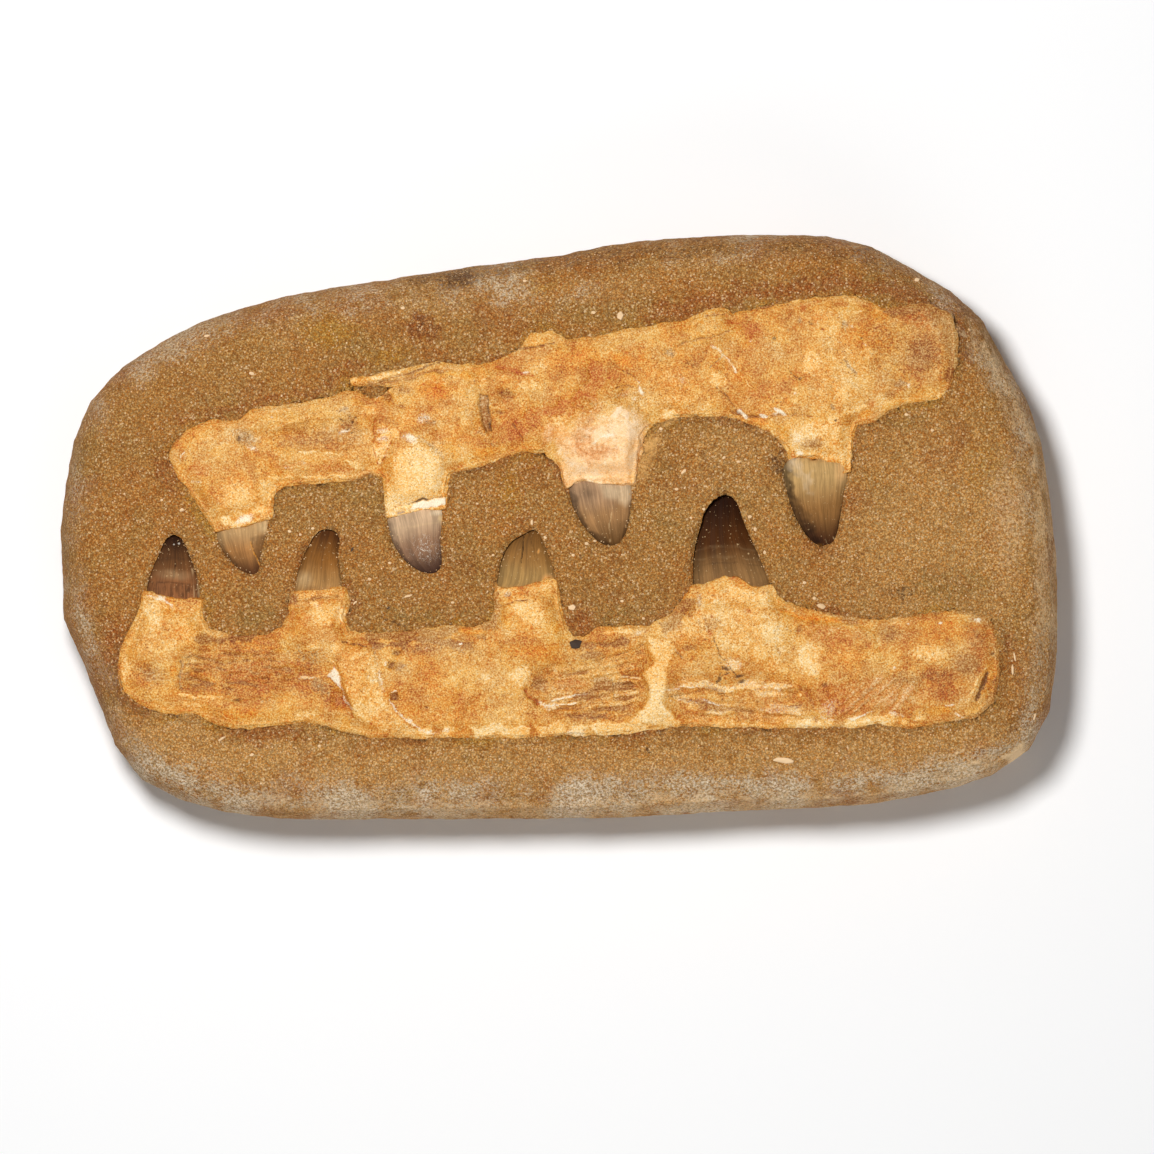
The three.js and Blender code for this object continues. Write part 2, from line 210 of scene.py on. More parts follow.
def readPoints(piece):
    points = np.empty(len(piece.data.vertices) * 3, np.float32)
    piece.data.vertices.foreach_get("co", points)
    return points.reshape(-1, 3).astype(float) / mm


def writePoints(piece, points):
    piece.data.vertices.foreach_set("co", (points * mm).astype(np.float32).ravel())
    piece.data.update()


def readNormals(piece):
    normals = np.empty(len(piece.data.vertices) * 3, np.float32)
    piece.data.vertex_normals.foreach_get("vector", normals)
    return normals.reshape(-1, 3).astype(float)


def setMaterial(piece, material):
    piece.data.materials.clear()
    piece.data.materials.append(material)


def writeTone(piece, name, values):
    layer = piece.data.attributes.new(name, "FLOAT", "POINT")
    layer.data.foreach_set("value", np.clip(values, 0, 1).astype(np.float32))


def writeTones(piece, tones):
    for name, values in tones.items():
        writeTone(piece, name, values)


# Shapes on arrays of points

tableSize = 8192
mixers = (73856093, 19349663, 83492791)     # large numbers that spread the cells of the noise over its table


def blank(points, names):
    return {name: np.zeros(len(points)) for name in names}


def onPlane(x, y):
    return np.column_stack((x, y, np.zeros(len(x))))


def ease(t):
    t = np.clip(t, 0, 1)
    return t * t * (3 - 2 * t)


# Smooth noise from -1 to 1 with lumps of about that size.
def lumps(points, size, seed):
    dice = np.random.default_rng(seed)
    table = dice.uniform(-1, 1, tableSize)
    turn = np.array(Matrix.Rotation(dice.uniform(0.3, 1.2), 3, Vector((0.3, 0.5, 0.8)).normalized()))
    place = points @ turn.T / size + dice.uniform(0, 50, 3)
    cell = np.floor(place).astype(np.int64)
    part = ease(place - cell)
    total = np.zeros(len(points))
    for corner in np.ndindex(2, 2, 2):
        at = (cell + corner) * mixers
        key = (at[:, 0] ^ at[:, 1] ^ at[:, 2]) % len(table)
        weight = np.prod(np.where(corner, part, 1 - part), axis=1)
        total += weight * table[key]
    return total


# Layers of lumps on top of each other, each with its height, its size and the number of its seed.
def swell(points, layers, seed=0, start=0):
    total = start
    for height, size, number in layers:
        total = total + height * lumps(points, size, seed + number)
    return total


# The same as shifts to the side, which give marks a ragged edge.
def wander(points, layers, seed=0):
    return onPlane(*(swell(points, layers, seed + axis) for axis in (0, 1)))


# Stripes of noise that run along a heading, in degrees, with a pitch across it.
def streaks(points, heading, pitch, length, seed):
    angle = math.radians(heading)
    along = points[:, 0] * math.cos(angle) + points[:, 1] * math.sin(angle)
    across = -points[:, 0] * math.sin(angle) + points[:, 1] * math.cos(angle)
    flat = onPlane(along / length * pitch, across)
    dice = np.random.default_rng(seed)
    table = dice.uniform(-1, 1, tableSize)
    place = flat / pitch + dice.uniform(0, 50, 3)
    cell = np.floor(place).astype(np.int64)
    part = ease(place - cell)
    total = np.zeros(len(points))
    for corner in np.ndindex(2, 2):
        at = (cell[:, :2] + corner) * mixers[:2]
        key = (at[:, 0] ^ at[:, 1]) % len(table)
        total += np.prod(np.where(corner, part[:, :2], 1 - part[:, :2]), axis=1) * table[key]
    return total


# 1 in the middle of an oval and 0 outside it; soft is the share of it that fades.
def ovalMask(points, at, reach, turn, soft):
    angle = math.radians(turn)
    x = points[:, 0] - at[0]
    y = points[:, 1] - at[1]
    along = (x * math.cos(angle) + y * math.sin(angle)) / reach[0]
    across = (y * math.cos(angle) - x * math.sin(angle)) / reach[1]
    return ease((1 - np.hypot(along, across)) / soft)


# Distance to a line through a few points, and on which side of it a point lies: above 0 is to its left.
def lineDistance(points, route):
    nearest = np.full(len(points), np.inf)
    side = np.zeros(len(points))
    for start, end in zip(route, route[1:]):
        start = np.array(start, float)
        span = np.array(end, float) - start
        offset = points[:, :2] - start
        share = np.clip(offset @ span / (span @ span), 0, 1)
        away = np.hypot(*(offset - share[:, None] * span).T)
        closer = away < nearest
        nearest[closer] = away[closer]
        side[closer] = np.sign(span[0] * offset[:, 1] - span[1] * offset[:, 0])[closer]
    return nearest, side


# 1 inside an outline and 0 outside it, easing over edge.
def areaMask(points, outline, edge):
    away, _ = lineDistance(points, [*outline, outline[0]])
    within = np.zeros(len(points), bool)
    for (x0, y0), (x1, y1) in zip(outline, [*outline[1:], outline[0]]):
        if y0 == y1:
            continue
        spans = (y0 > points[:, 1]) != (y1 > points[:, 1])
        crossing = x0 + (points[:, 1] - y0) * (x1 - x0) / (y1 - y0)
        within ^= spans & (points[:, 0] < crossing)
    return ease(0.5 + np.where(within, away, -away) / edge)


# Marks for one piece. Each has a place, and its look says how far it rises and how strong its tones are.

# An oval with its reach along and across; its look may also give a turn in degrees and how soft it is.
def oval(x, y, along, across, **look):
    return {"oval": ((x, y), (along, across)), **look}


# A line through a few points.
def line(width, *route, **look):
    return {"line": route, "width": width, **look}


# The left side of a line, where the surface steps up and falls back over fade.
def step(fade, *route, **look):
    return {"step": route, "fade": fade, **look}


# A closed outline that eases over edge. Stripes in it are a heading in degrees and a pitch.
def area(edge, *outline, **look):
    return {"area": outline, "edge": edge, **look}


# Where a mark covers the points, from 0 to 1; wobble makes the width of its lines uneven.
def markMask(points, mark, wobble):
    if "oval" in mark:
        at, reach = mark["oval"]
        return ovalMask(points, at, reach, mark.get("turn", 0), mark.get("soft", 0.9))
    if "line" in mark:
        away, _ = lineDistance(points, mark["line"])
        return ease(1.3 - away / (0.5 * mark["width"] * wobble))
    if "step" in mark:
        away, side = lineDistance(points, mark["step"])
        return ease(0.5 + side * away / 0.8) * np.exp(-away / mark["fade"])
    return areaMask(points, mark["area"], mark["edge"])


# Sums the rises of marks and lays their tones over each other. Stripes take their noise from the place of
# their mark in the list.
def applyMarks(points, marks, tones, seed):
    rise = np.zeros(len(points))
    wobble = np.maximum(swell(points, ((0.7, 2.4, 900), (0.4, 1, 901)), seed, 0.85), 0.1)
    worn = np.clip(0.8 + 1.1 * lumps(points, 3.4, seed + 902), 0, 1)
    for i, mark in enumerate(marks):
        mask = markMask(points, mark, wobble)
        if "line" in mark and ("white" in mark or "cream" in mark):
            mask = mask * worn
        if "stripes" in mark:
            heading, pitch = mark["stripes"]
            length = mark.get("length", 9) * pitch
            mask = mask * np.clip(1.9 * streaks(points, heading, pitch, length, seed + i), -1, 1)
        rise += mask * mark.get("rise", 0)
        for name in tones:
            if name in mark:
                tones[name] = np.maximum(tones[name], np.clip(mask, 0, 1) * mark[name])
    return rise


# Helpers on materials

def newMaterial(name):
    material = bpy.data.materials.new(name)
    material.use_nodes = True
    return material, material.node_tree


def mixColors(net, factor, first, second, blend="MIX"):
    mix = net.nodes.new("ShaderNodeMix")
    mix.data_type = "RGBA"
    mix.blend_type = blend
    mix.clamp_factor = True
    for socket, value in ((mix.inputs[0], factor), (mix.inputs[6], first), (mix.inputs[7], second)):
        if isinstance(value, bpy.types.NodeSocket):
            net.links.new(value, socket)
        elif isinstance(value, tuple):
            socket.default_value = (*value, 1)
        else:
            socket.default_value = value
    return mix.outputs[2]


def calculate(net, operation, first, second=0.0, third=0.0):
    node = net.nodes.new("ShaderNodeMath")
    node.operation = operation
    for socket, value in zip(node.inputs, (first, second, third)):
        if isinstance(value, bpy.types.NodeSocket):
            net.links.new(value, socket)
        else:
            socket.default_value = value
    return node.outputs[0]


def remap(net, value, low, high, toLow=0.0, toHigh=1.0):
    node = net.nodes.new("ShaderNodeMapRange")
    node.interpolation_type = "SMOOTHSTEP"
    for name, number in (("From Min", low), ("From Max", high), ("To Min", toLow), ("To Max", toHigh)):
        node.inputs[name].default_value = number
    net.links.new(value, node.inputs["Value"])
    return node.outputs["Result"]


def noiseTexture(net, vector, size, detail=3, roughness=0.55):
    node = net.nodes.new("ShaderNodeTexNoise")
    node.inputs["Scale"].default_value = 1 / (size * mm)
    node.inputs["Detail"].default_value = detail
    node.inputs["Roughness"].default_value = roughness
    net.links.new(vector, node.inputs["Vector"])
    return node.outputs["Fac"]


# A power of the colour: above 1 it is darker and richer, below 1 lighter and creamier.
def deepen(net, color, power):
    node = net.nodes.new("ShaderNodeGamma")
    net.links.new(color, node.inputs["Color"])
    net.links.new(power, node.inputs["Gamma"])
    return node.outputs["Color"]


# What is stored on the mesh under that name: a tone, or with another output a colour or a vector.
def readTone(net, name, output="Fac"):
    node = net.nodes.new("ShaderNodeAttribute")
    node.attribute_name = name
    return node.outputs[output]


def lighten(net, color, value):
    node = net.nodes.new("ShaderNodeHueSaturation")
    net.links.new(color, node.inputs["Color"])
    net.links.new(value, node.inputs["Value"])
    return node.outputs["Color"]


# Lays a paint over a colour in clouds of noise, where the noise is within a span.
def clouded(net, vector, color, paint, noise, span, most):
    cover = remap(net, noiseTexture(net, vector, *noise), *span, 0, most)
    return mixColors(net, cover, color, paint)


# Node groups that more than one material uses

def newGroup(name, inputs, outputs):
    net = bpy.data.node_groups.new(name, "ShaderNodeTree")
    for label, kind, value in inputs:
        socket = net.interface.new_socket(name=label, in_out="INPUT", socket_type=kind)
        if value is not None:
            socket.default_value = value
    for label, kind in outputs:
        net.interface.new_socket(name=label, in_out="OUTPUT", socket_type=kind)
    start = net.nodes.new("NodeGroupInput")
    end = net.nodes.new("NodeGroupOutput")
    return net, start.outputs, end.inputs


# Breaks up the soft edge of a painted tone with noise, so that it looks like a stain in grain.
def makeStainEdge():
    net, given, made = newGroup(
        "stainEdge",
        [("Vector", "NodeSocketVector", None), ("Tone", "NodeSocketFloat", 0.0),
         ("Size", "NodeSocketFloat", 400.0), ("Break", "NodeSocketFloat", 0.8)],
        [("Mask", "NodeSocketFloat")])
    noise = net.nodes.new("ShaderNodeTexNoise")
    noise.inputs["Detail"].default_value = 7
    noise.inputs["Roughness"].default_value = 0.76
    net.links.new(given["Vector"], noise.inputs["Vector"])
    net.links.new(given["Size"], noise.inputs["Scale"])
    away = calculate(net, "SUBTRACT", noise.outputs["Fac"], 0.5)
    away = calculate(net, "MULTIPLY", away, 5)
    moved = calculate(net, "MULTIPLY_ADD", away, given["Break"], given["Tone"])
    faded = remap(net, moved, 0.08, 0.92)
    painted = remap(net, given["Tone"], 0.0, 0.25)
    net.links.new(calculate(net, "MULTIPLY", faded, painted), made["Mask"])
    return net


# Sand grains packed together: a colour for each grain, how high it stands, and a mask of rare pale ones.
def makeSandGrain():
    net, given, made = newGroup(
        "sandGrain",
        [("Vector", "NodeSocketVector", None), ("Scale", "NodeSocketFloat", 1100.0)],
        [("Value", "NodeSocketFloat"), ("Height", "NodeSocketFloat"), ("Pale", "NodeSocketFloat"),
         ("Dark", "NodeSocketFloat")])
    heights = []
    values = []
    for share in (1.0, 0.55):
        cells = net.nodes.new("ShaderNodeTexVoronoi")
        cells.feature = "F1"
        net.links.new(given["Vector"], cells.inputs["Vector"])
        net.links.new(calculate(net, "MULTIPLY", given["Scale"], share), cells.inputs["Scale"])
        apart = net.nodes.new("ShaderNodeSeparateColor")
        net.links.new(cells.outputs["Color"], apart.inputs["Color"])
        values.append(apart.outputs["Red"])
        heights.append(calculate(net, "SUBTRACT", 1.0, cells.outputs["Distance"]))
        if share == 1:
            net.links.new(remap(net, apart.outputs["Green"], 0.94, 0.97), made["Pale"])
            net.links.new(remap(net, apart.outputs["Blue"], 0.92, 0.97), made["Dark"])
    mean = calculate(net, "ADD", values[0], values[1])
    net.links.new(calculate(net, "MULTIPLY", mean, 0.5), made["Value"])
    both = calculate(net, "MULTIPLY_ADD", heights[1], 0.8, heights[0])
    net.links.new(both, made["Height"])
    return net


stainEdge = makeStainEdge()
sandGrain = makeSandGrain()


def placeGroup(net, group, vector, **values):
    node = net.nodes.new("ShaderNodeGroup")
    node.node_tree = group
    net.links.new(vector, node.inputs["Vector"])
    for name, value in values.items():
        if isinstance(value, bpy.types.NodeSocket):
            net.links.new(value, node.inputs[name])
        else:
            node.inputs[name].default_value = value
    return node.outputs


def stained(net, vector, color, tone, paint, size=3.0, breakUp=0.8, strength=1.0):
    mask = placeGroup(net, stainEdge, vector, Tone=tone, Size=1 / (size * mm), Break=breakUp)["Mask"]
    if strength < 1:
        mask = calculate(net, "MULTIPLY", mask, strength)
    return mixColors(net, mask, color, paint)


def addBump(net, shader, height, strength, distance, under=None):
    bump = net.nodes.new("ShaderNodeBump")
    bump.inputs["Strength"].default_value = strength
    bump.inputs["Distance"].default_value = distance * mm
    net.links.new(height, bump.inputs["Height"])
    if under is not None:
        net.links.new(under, bump.inputs["Normal"])
    if shader is not None:
        net.links.new(bump.outputs["Normal"], shader.inputs["Normal"])
    return bump.outputs["Normal"]


# Finding the nearest surface of finished pieces

def treeOf(pieces):
    bm = bmesh.new()
    for piece in pieces:
        bm.from_mesh(piece.data)
    tree = BVHTree.FromBMesh(bm)
    bm.free()
    return tree


# How far each point is from a tree's surface, up to a limit.
def distanceTo(tree, points, limit):
    away = np.full(len(points), float(limit))
    for i, point in enumerate(points * mm):
        found = tree.find_nearest(point, limit * mm)
        if found[3] is not None:
            away[i] = found[3] / mm
    return away


# The enamel crowns. Left and right are the ends of the root line and tip is the point, as seen from above.

enamel = {
    "voxel": 0.36,
    "seenFrom": 35,
    "grow": 0.42,
    "flatter": 0.78,        # share of their depth that the flanks come up
    "tipUp": 2.2,
    "raisedFrom": 30,       # what lies lower is not moved up
    "warp": ((0.35, 2.4, 0),),
    "ridges": ((0.07, 2.6, 3), (0.035, 0.9, 4)),
    "dark": (0.02, 0.01, 0.006),
    "cream": (0.7, 0.48, 0.24),
    "rust": (0.62, 0.24, 0.03),
    "white": (0.8, 0.72, 0.6),
    "roughness": 0.6,
}

crowns = {
    "upper_tooth_1": {
        "left": (-119.8, -2.5), "right": (-100.5, 3), "tip": (-105.6, -17),
        "base": (0.484, 0.29, 0.124), "middle": (0.353, 0.16, 0.05), "end": (0.1, 0.038, 0.014),
        "marks": [
            area(1.2, (-107.6, -4), (-104, -15), (-99, -12), (-99, -2), dark=0.32),
            # painted shade on the left flank, where it dives into the rock
            line(2.6, (-119, -4.4), (-116, -8.8), (-112, -13), dark=0.4),
            line(0.5, (-107.6, -5.4), (-106, -10), (-103.8, -14.8), rust=1, cream=0.6, rise=0.25),
            line(0.4, (-107, -6), (-104.9, -12), dark=0.6, rise=-0.3),
            oval(-102.4, 0, 4, 3.4, turn=20, cream=0.55),
        ]},
    "upper_tooth_2": {
        "left": (-60, 2.5), "right": (-40, 5.5), "tip": (-43.8, -17.5),
        "base": (0.55, 0.365, 0.215), "middle": (0.27, 0.145, 0.08), "end": (0.06, 0.028, 0.018),
        "marks": [
            line(2.6, (-41, 5.6), (-40.7, 1), (-40.4, -3.4), cream=0.9),
            line(0.7, (-57, -0.6), (-50, 0.4), (-42, 1.6), cream=0.2),
            oval(-42.4, 4.8, 3.6, 1.5, turn=8, cream=0.9, white=0.3),
            oval(-46.4, -7.4, 6.6, 8.4, turn=70, scratch=1),
            line(0.4, (-42.6, -17), (-41, -15.6), cream=0.6),
            # painted shade on the left flank, where it dives into the rock
            line(3, (-59.6, 1), (-57, -7), (-51, -14), dark=0.4),
        ]},
    "upper_tooth_3": {
        "left": (2.8, 13), "right": (26, 14.5), "tip": (18, -7.5),
        "base": (0.38, 0.225, 0.12), "middle": (0.35, 0.18, 0.07), "end": (0.15, 0.07, 0.022),
        "marks": [
            area(3, (14, 15), (25, 15), (25, 10), (22.6, 7.4), (20, 9.6), (16, 10.4), cream=0.5,
                 white=0.12),
            # painted shade on the left flank, where it dives into the rock
            line(6, (4, 12), (6, 4), (10.4, -2.4), (16, -6.6), dark=0.5),
            oval(10, 12, 5, 2.4, dark=0.25),
            line(1.2, (25, 12), (24.4, 4), (22, -3.4), dark=0.35),
            line(0.4, (19, 8), (17.6, 1), (18, -5), cream=0.5),
        ]},
    "upper_tooth_4": {
        "left": (78, 20), "right": (101, 20), "tip": (91.4, -8), "rootUp": 1.5,
        "base": (0.49, 0.3, 0.114), "middle": (0.29, 0.136, 0.04), "end": (0.07, 0.024, 0.009),
        "marks": [
            line(5, (81, 21.4), (84, 19), (87.6, 14), white=0.2, cream=0.3),
            line(3.4, (80, 23.4), (86, 23.6), (94, 23.4), rise=1.1),
            oval(82.6, 22.6, 0.9, 0.6, dark=0.9),
            oval(98, 20, 3.4, 7.6, cream=0.6, rust=0.35),
            # painted shade on the left flank and the rock edge beside it
            line(5.4, (78.6, 22), (81, 11), (85.4, 1), (90, -7), dark=0.62),
            line(1, (98.6, 8), (96.6, -2), dark=0.5),
            line(0.4, (92.6, -4.4), (93.6, -6), cream=0.8),
            line(0.4, (95, -3.6), (96.2, -5.4), cream=0.7),
            oval(90.6, -7, 2, 1.6, rust=0.4),
        ]},
    "lower_tooth_1": {
        "left": (-144.4, -23), "right": (-124.3, -25.5), "tip": (-134.2, -2), "blunt": 0.8,
        "base": (0.25, 0.096, 0.034), "middle": (0.14, 0.056, 0.018), "end": (0.024, 0.008, 0.003),
        "marks": [
            oval(-134, -17, 8, 2.6, turn=-4, cream=0.2),
            line(0.6, (-143, -19.4), (-136, -19.6), (-128.6, -20), dark=0.4),
            line(2, (-141, -11.6), (-134, -11.2), (-128, -12), dark=0.2),
            line(0.6, (-133.9, -8), (-133.7, -14), (-134, -18), dark=0.6, rise=-0.15),
            line(0.5, (-132.4, -20), (-132.3, -24.6), dark=0.5, rise=-0.15),
            line(0.5, (-130, -20), (-129.8, -25), dark=0.5, rise=-0.15),
            line(0.7, (-128.2, -15), (-127.5, -20), (-127.2, -25), cream=0.4, rise=0.1),
            line(2, (-126, -18), (-125.6, -25), cream=0.35),
            line(0.6, (-144.6, -22.6), (-140, -24), (-135.4, -25), white=0.5),
            area(0.8, (-144, -19.4), (-125, -20), (-124.4, -25.8), (-144.6, -23.4), stripes=(90, 0.36),
                 length=8, dark=0.5),
            oval(-132.5, -6, 0.5, 0.5, white=0.9),
            oval(-134.2, -6.4, 0.4, 0.4, white=0.8),
        ]},
    "lower_tooth_2": {
        "left": (-92.6, -23), "right": (-74.7, -21.3), "tip": (-80.2, -0.1), "blunt": 1.3,
        "base": (0.374, 0.195, 0.064), "middle": (0.23, 0.09, 0.018), "end": (0.085, 0.028, 0.006),
        "marks": [
            oval(-88.6, -18.6, 4.6, 4, turn=30, cream=0.35),
            line(1.6, (-92, -19), (-88, -8), (-83, -1.4), dark=0.35),
            line(1.8, (-76.6, -2.6), (-77.6, -10), (-75.6, -19), dark=0.3),
            oval(-86, -21.4, 3, 1, dark=0.2),
            oval(-79.8, -0.8, 0.5, 0.4, white=1),
        ]},
    "lower_tooth_3": {
        "left": (-22.2, -20.5), "right": (-0.8, -19), "tip": (-8.6, -0.3),
        "base": (0.375, 0.215, 0.07), "middle": (0.275, 0.128, 0.033), "end": (0.16, 0.067, 0.015),
        "marks": [
            line(0.5, (-12.2, -3.6), (-12.4, -8), (-13.2, -13), dark=0.9, rise=-0.2),
            oval(-7.3, -8.6, 0.6, 1.2, rust=0.8, cream=0.6),
            line(0.5, (-10.6, -1.6), (-9.4, -6), (-8, -12), dark=0.3),
            oval(-4, -18.6, 2.6, 2.8, turn=40, rust=0.75, cream=0.6),
            line(1.4, (-21, -17), (-19, -8), (-14, -3), dark=0.3),
            line(1.4, (-6, -2.6), (-3.4, -9), (-1.4, -15), dark=0.3),
            line(0.6, (-17.6, -5), (-13, -3), cream=0.4),
        ]},
    "lower_tooth_4": {
        "left": (46, -21.5), "right": (74.3, -20.4), "tip": (57.4, 12), "blunt": 2,
        "base": (0.26, 0.134, 0.047), "middle": (0.07, 0.022, 0.0045), "end": (0.02, 0.0055, 0.0015),
        "marks": [
            line(1.2, (47.6, -8.6), (53, -7.4), (60, -7), (68, -8.4), cream=0.05, rise=0.08),
            line(1.3, (46.6, -12), (53, -10.8), (61, -10.6), (70, -12), cream=0.06, rise=0.08),
            line(0.7, (46.8, -14), (53, -13), (61, -12.6), (71, -14), dark=0.25),
            line(1, (69.4, -8), (67.6, -4), (66.4, -2), cream=0.5),
            oval(62.4, -6.6, 0.5, 0.4, cream=1),
            oval(65.6, -9.4, 0.5, 0.4, cream=0.8),
            line(1.3, (73, -18), (68, -4), (62, 8), dark=0.5),
        ]},
}


# Place in the tooth: across it (widened to the root's width all the way up) and along it, in millimetres.
def toothPlaces(points, spec):
    left, right, tip = (np.array(spec[end], float) for end in ("left", "right", "tip"))
    middle = (left + right) / 2
    axis = tip - middle
    height = np.hypot(*axis)
    axis /= height
    offset = points[:, :2] - middle
    along = offset @ axis
    across = offset[:, 0] * axis[1] - offset[:, 1] * axis[0]
    shelves = np.linspace(-2, height, 18)
    lows, highs = [], []
    for shelf in shelves:
        near = across[np.abs(along - shelf) < 1.3]
        lows.append(near.min() if len(near) else 0)
        highs.append(near.max() if len(near) else 0)
    low = np.interp(along, shelves, lows)
    high = np.interp(along, shelves, highs)
    share = (across - (low + high) / 2) / np.maximum((high - low) / 2, 1.2)
    halfRoot = np.hypot(*(right - left)) / 2
    return share, share * halfRoot, along, along / height


# Brings the flanks up, so that a crown fills its hollow instead of leaving a deep groove beside it.
def flatten(points, along):
    shelves = np.linspace(along.min(), along.max(), 24)
    crests, keels = [], []
    for shelf in shelves:
        near = points[np.abs(along - shelf) < 1.5, 2]
        crests.append(near.max())
        keels.append(near.min())
    crest = np.interp(along, shelves, crests)
    half = (crest - np.interp(along, shelves, keels)) / 2
    depth = np.clip(crest - points[:, 2], 0, None)
    points[:, 2] += enamel["flatter"] * np.minimum(depth, half)


# Widens the last stretch of a crown whose tip is worn round.
def bluntTip(points, spec, share, part):
    left, right, tip = (np.array(spec[end], float) for end in ("left", "right", "tip"))
    axis = tip - (left + right) / 2
    axis = axis / np.hypot(*axis)
    sideways = share * ease((part - 0.6) / 0.3) * ease((1.12 - part) / 0.12) * spec.get("blunt", 0)
    points[:, 0] += axis[1] * sideways
    points[:, 1] -= axis[0] * sideways


def makeCrown(nodeName, pieceName, spec, seed):
    piece = copyOfNode(nodeName, pieceName)
    bm = bmesh.new()
    bm.from_mesh(piece.data)
    bmesh.ops.join_triangles(bm, faces=bm.faces, angle_face_threshold=0.9, angle_shape_threshold=2)
    bm.to_mesh(piece.data)
    bm.free()
    subdivide(piece, 2)
    remesh(piece, enamel["voxel"])
    hidden = ease((enamel["seenFrom"] - readPoints(piece)[:, 2]) / 0.5)
    thinOut(piece, hidden, 1 - 0.95 * (hidden > 0.5).mean())
    points = readPoints(piece)
    normals = readNormals(piece)
    share, across, along, part = toothPlaces(points, spec)
    flatten(points, along)
    for amount in (enamel["tipUp"] * ease(part), spec.get("rootUp", 0) * (1 - ease(part / 0.4))):
        points[:, 2] += amount * ease((points[:, 2] - enamel["raisedFrom"]) / 5)
    bluntTip(points, spec, share, part)

    tones = blank(points, ("dark", "cream", "rust", "white", "scratch"))
    warp = wander(points * (1, 1, 0), enamel["warp"], seed)
    rise = applyMarks(points + warp, spec["marks"], tones, seed)
    rise += swell(onPlane(across, along / 16), enamel["ridges"], seed)
    rise += 0.05 * lumps(onPlane(across / 9, along), 1.8, seed + 5)
    shown = ease((points[:, 2] - enamel["seenFrom"]) / 1.5)
    points += normals * ((enamel["grow"] + rise) * shown)[:, None]
    writePoints(piece, points)

    # the base colour runs from the root to the tip; both edges are darkened as painted shade where the
    # flanks dive into the rock
    stage = part + 0.06 * lumps(onPlane(across, along / 5), 3, seed + 6)
    toMiddle = ease((stage - 0.05) / 0.45)[:, None]
    toEnd = ease((stage - 0.42) / 0.5)[:, None]
    base, middle, end = (np.array(spec[name]) for name in ("base", "middle", "end"))
    shade = (base * (1 - toMiddle) + middle * toMiddle) * (1 - toEnd) + end * toEnd
    bands = lumps(onPlane(across / 12, along), 1.6, seed + 7)
    bands += 1.2 * lumps(onPlane(across, along / 2.5), 3.4, seed + 9)
    shade *= (1 - 0.34 * ease((np.abs(share) - 0.55) / 0.5) + 0.07 * bands)[:, None]
    for name in ("dark", "cream", "rust", "white"):
        cover = (np.clip(tones[name], 0, 1) * (1 + 0.3 * lumps(points, 0.9, seed + 8)))[:, None]
        cover = np.clip(cover, 0, 1)
        shade = shade * (1 - cover) + np.array(enamel[name]) * cover
    color = piece.data.attributes.new("shade", "FLOAT_COLOR", "POINT")
    opaque = np.column_stack((shade, np.ones(len(points))))
    color.data.foreach_set("color", opaque.astype(np.float32).ravel())
    space = piece.data.attributes.new("toothSpace", "FLOAT_VECTOR", "POINT")
    places = np.column_stack((across, along / 14, np.full(len(points), seed))) * mm
    space.data.foreach_set("vector", places.astype(np.float32).ravel())
    writeTone(piece, "scratch", tones["scratch"])
    return piece


def paintEnamel():
    material, net = newMaterial("toothEnamel")
    shader = net.nodes["Principled BSDF"]
    place = net.nodes.new("ShaderNodeTexCoord").outputs["Object"]
    tooth = readTone(net, "toothSpace", "Vector")
    fibres = noiseTexture(net, tooth, 0.62, 4, 0.7)
    broad = noiseTexture(net, tooth, 2.6, 3, 0.6)
    value = calculate(net, "MULTIPLY", remap(net, fibres, 0.36, 0.64, 0.84, 1.16),
                      remap(net, broad, 0.36, 0.64, 0.88, 1.12))
    color = lighten(net, readTone(net, "shade", "Color"), value)
    web = noiseTexture(net, place, 2.2, 2, 0.6)
    fromMiddle = calculate(net, "ABSOLUTE", calculate(net, "SUBTRACT", web, 0.5))
    threads = remap(net, fromMiddle, 0.002, 0.014, 1, 0)
    scratch = calculate(net, "MULTIPLY", threads, readTone(net, "scratch"))
    color = mixColors(net, calculate(net, "MULTIPLY", scratch, 0.8), color, enamel["white"])
    color = clouded(net, place, color, enamel["cream"], (0.7, 2, 0.5), (0.68, 0.74), 0.7)
    net.links.new(color, shader.inputs["Base Color"])
    net.links.new(remap(net, broad, 0.3, 0.7, enamel["roughness"] - 0.06, enamel["roughness"] + 0.12),
              shader.inputs["Roughness"])
    shader.inputs["Specular IOR Level"].default_value = 0.04
    addBump(net, shader, fibres, 0.2, 0.06)
    return material


enamelMaterial = paintEnamel()
crownPieces = []
for number, (nodeName, spec) in enumerate(crowns.items()):
    crown = makeCrown(nodeName, nodeName.replace("tooth", "crown"), spec, 3000 + 40 * number)
    crownPieces.append(crown)
    setMaterial(crown, enamelMaterial)
    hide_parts(nodeName)
    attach(crown, "root")
crownTree = treeOf(crownPieces)
print("crowns:", sum(len(piece.data.polygons) for piece in crownPieces), "faces")


# The jaw bones

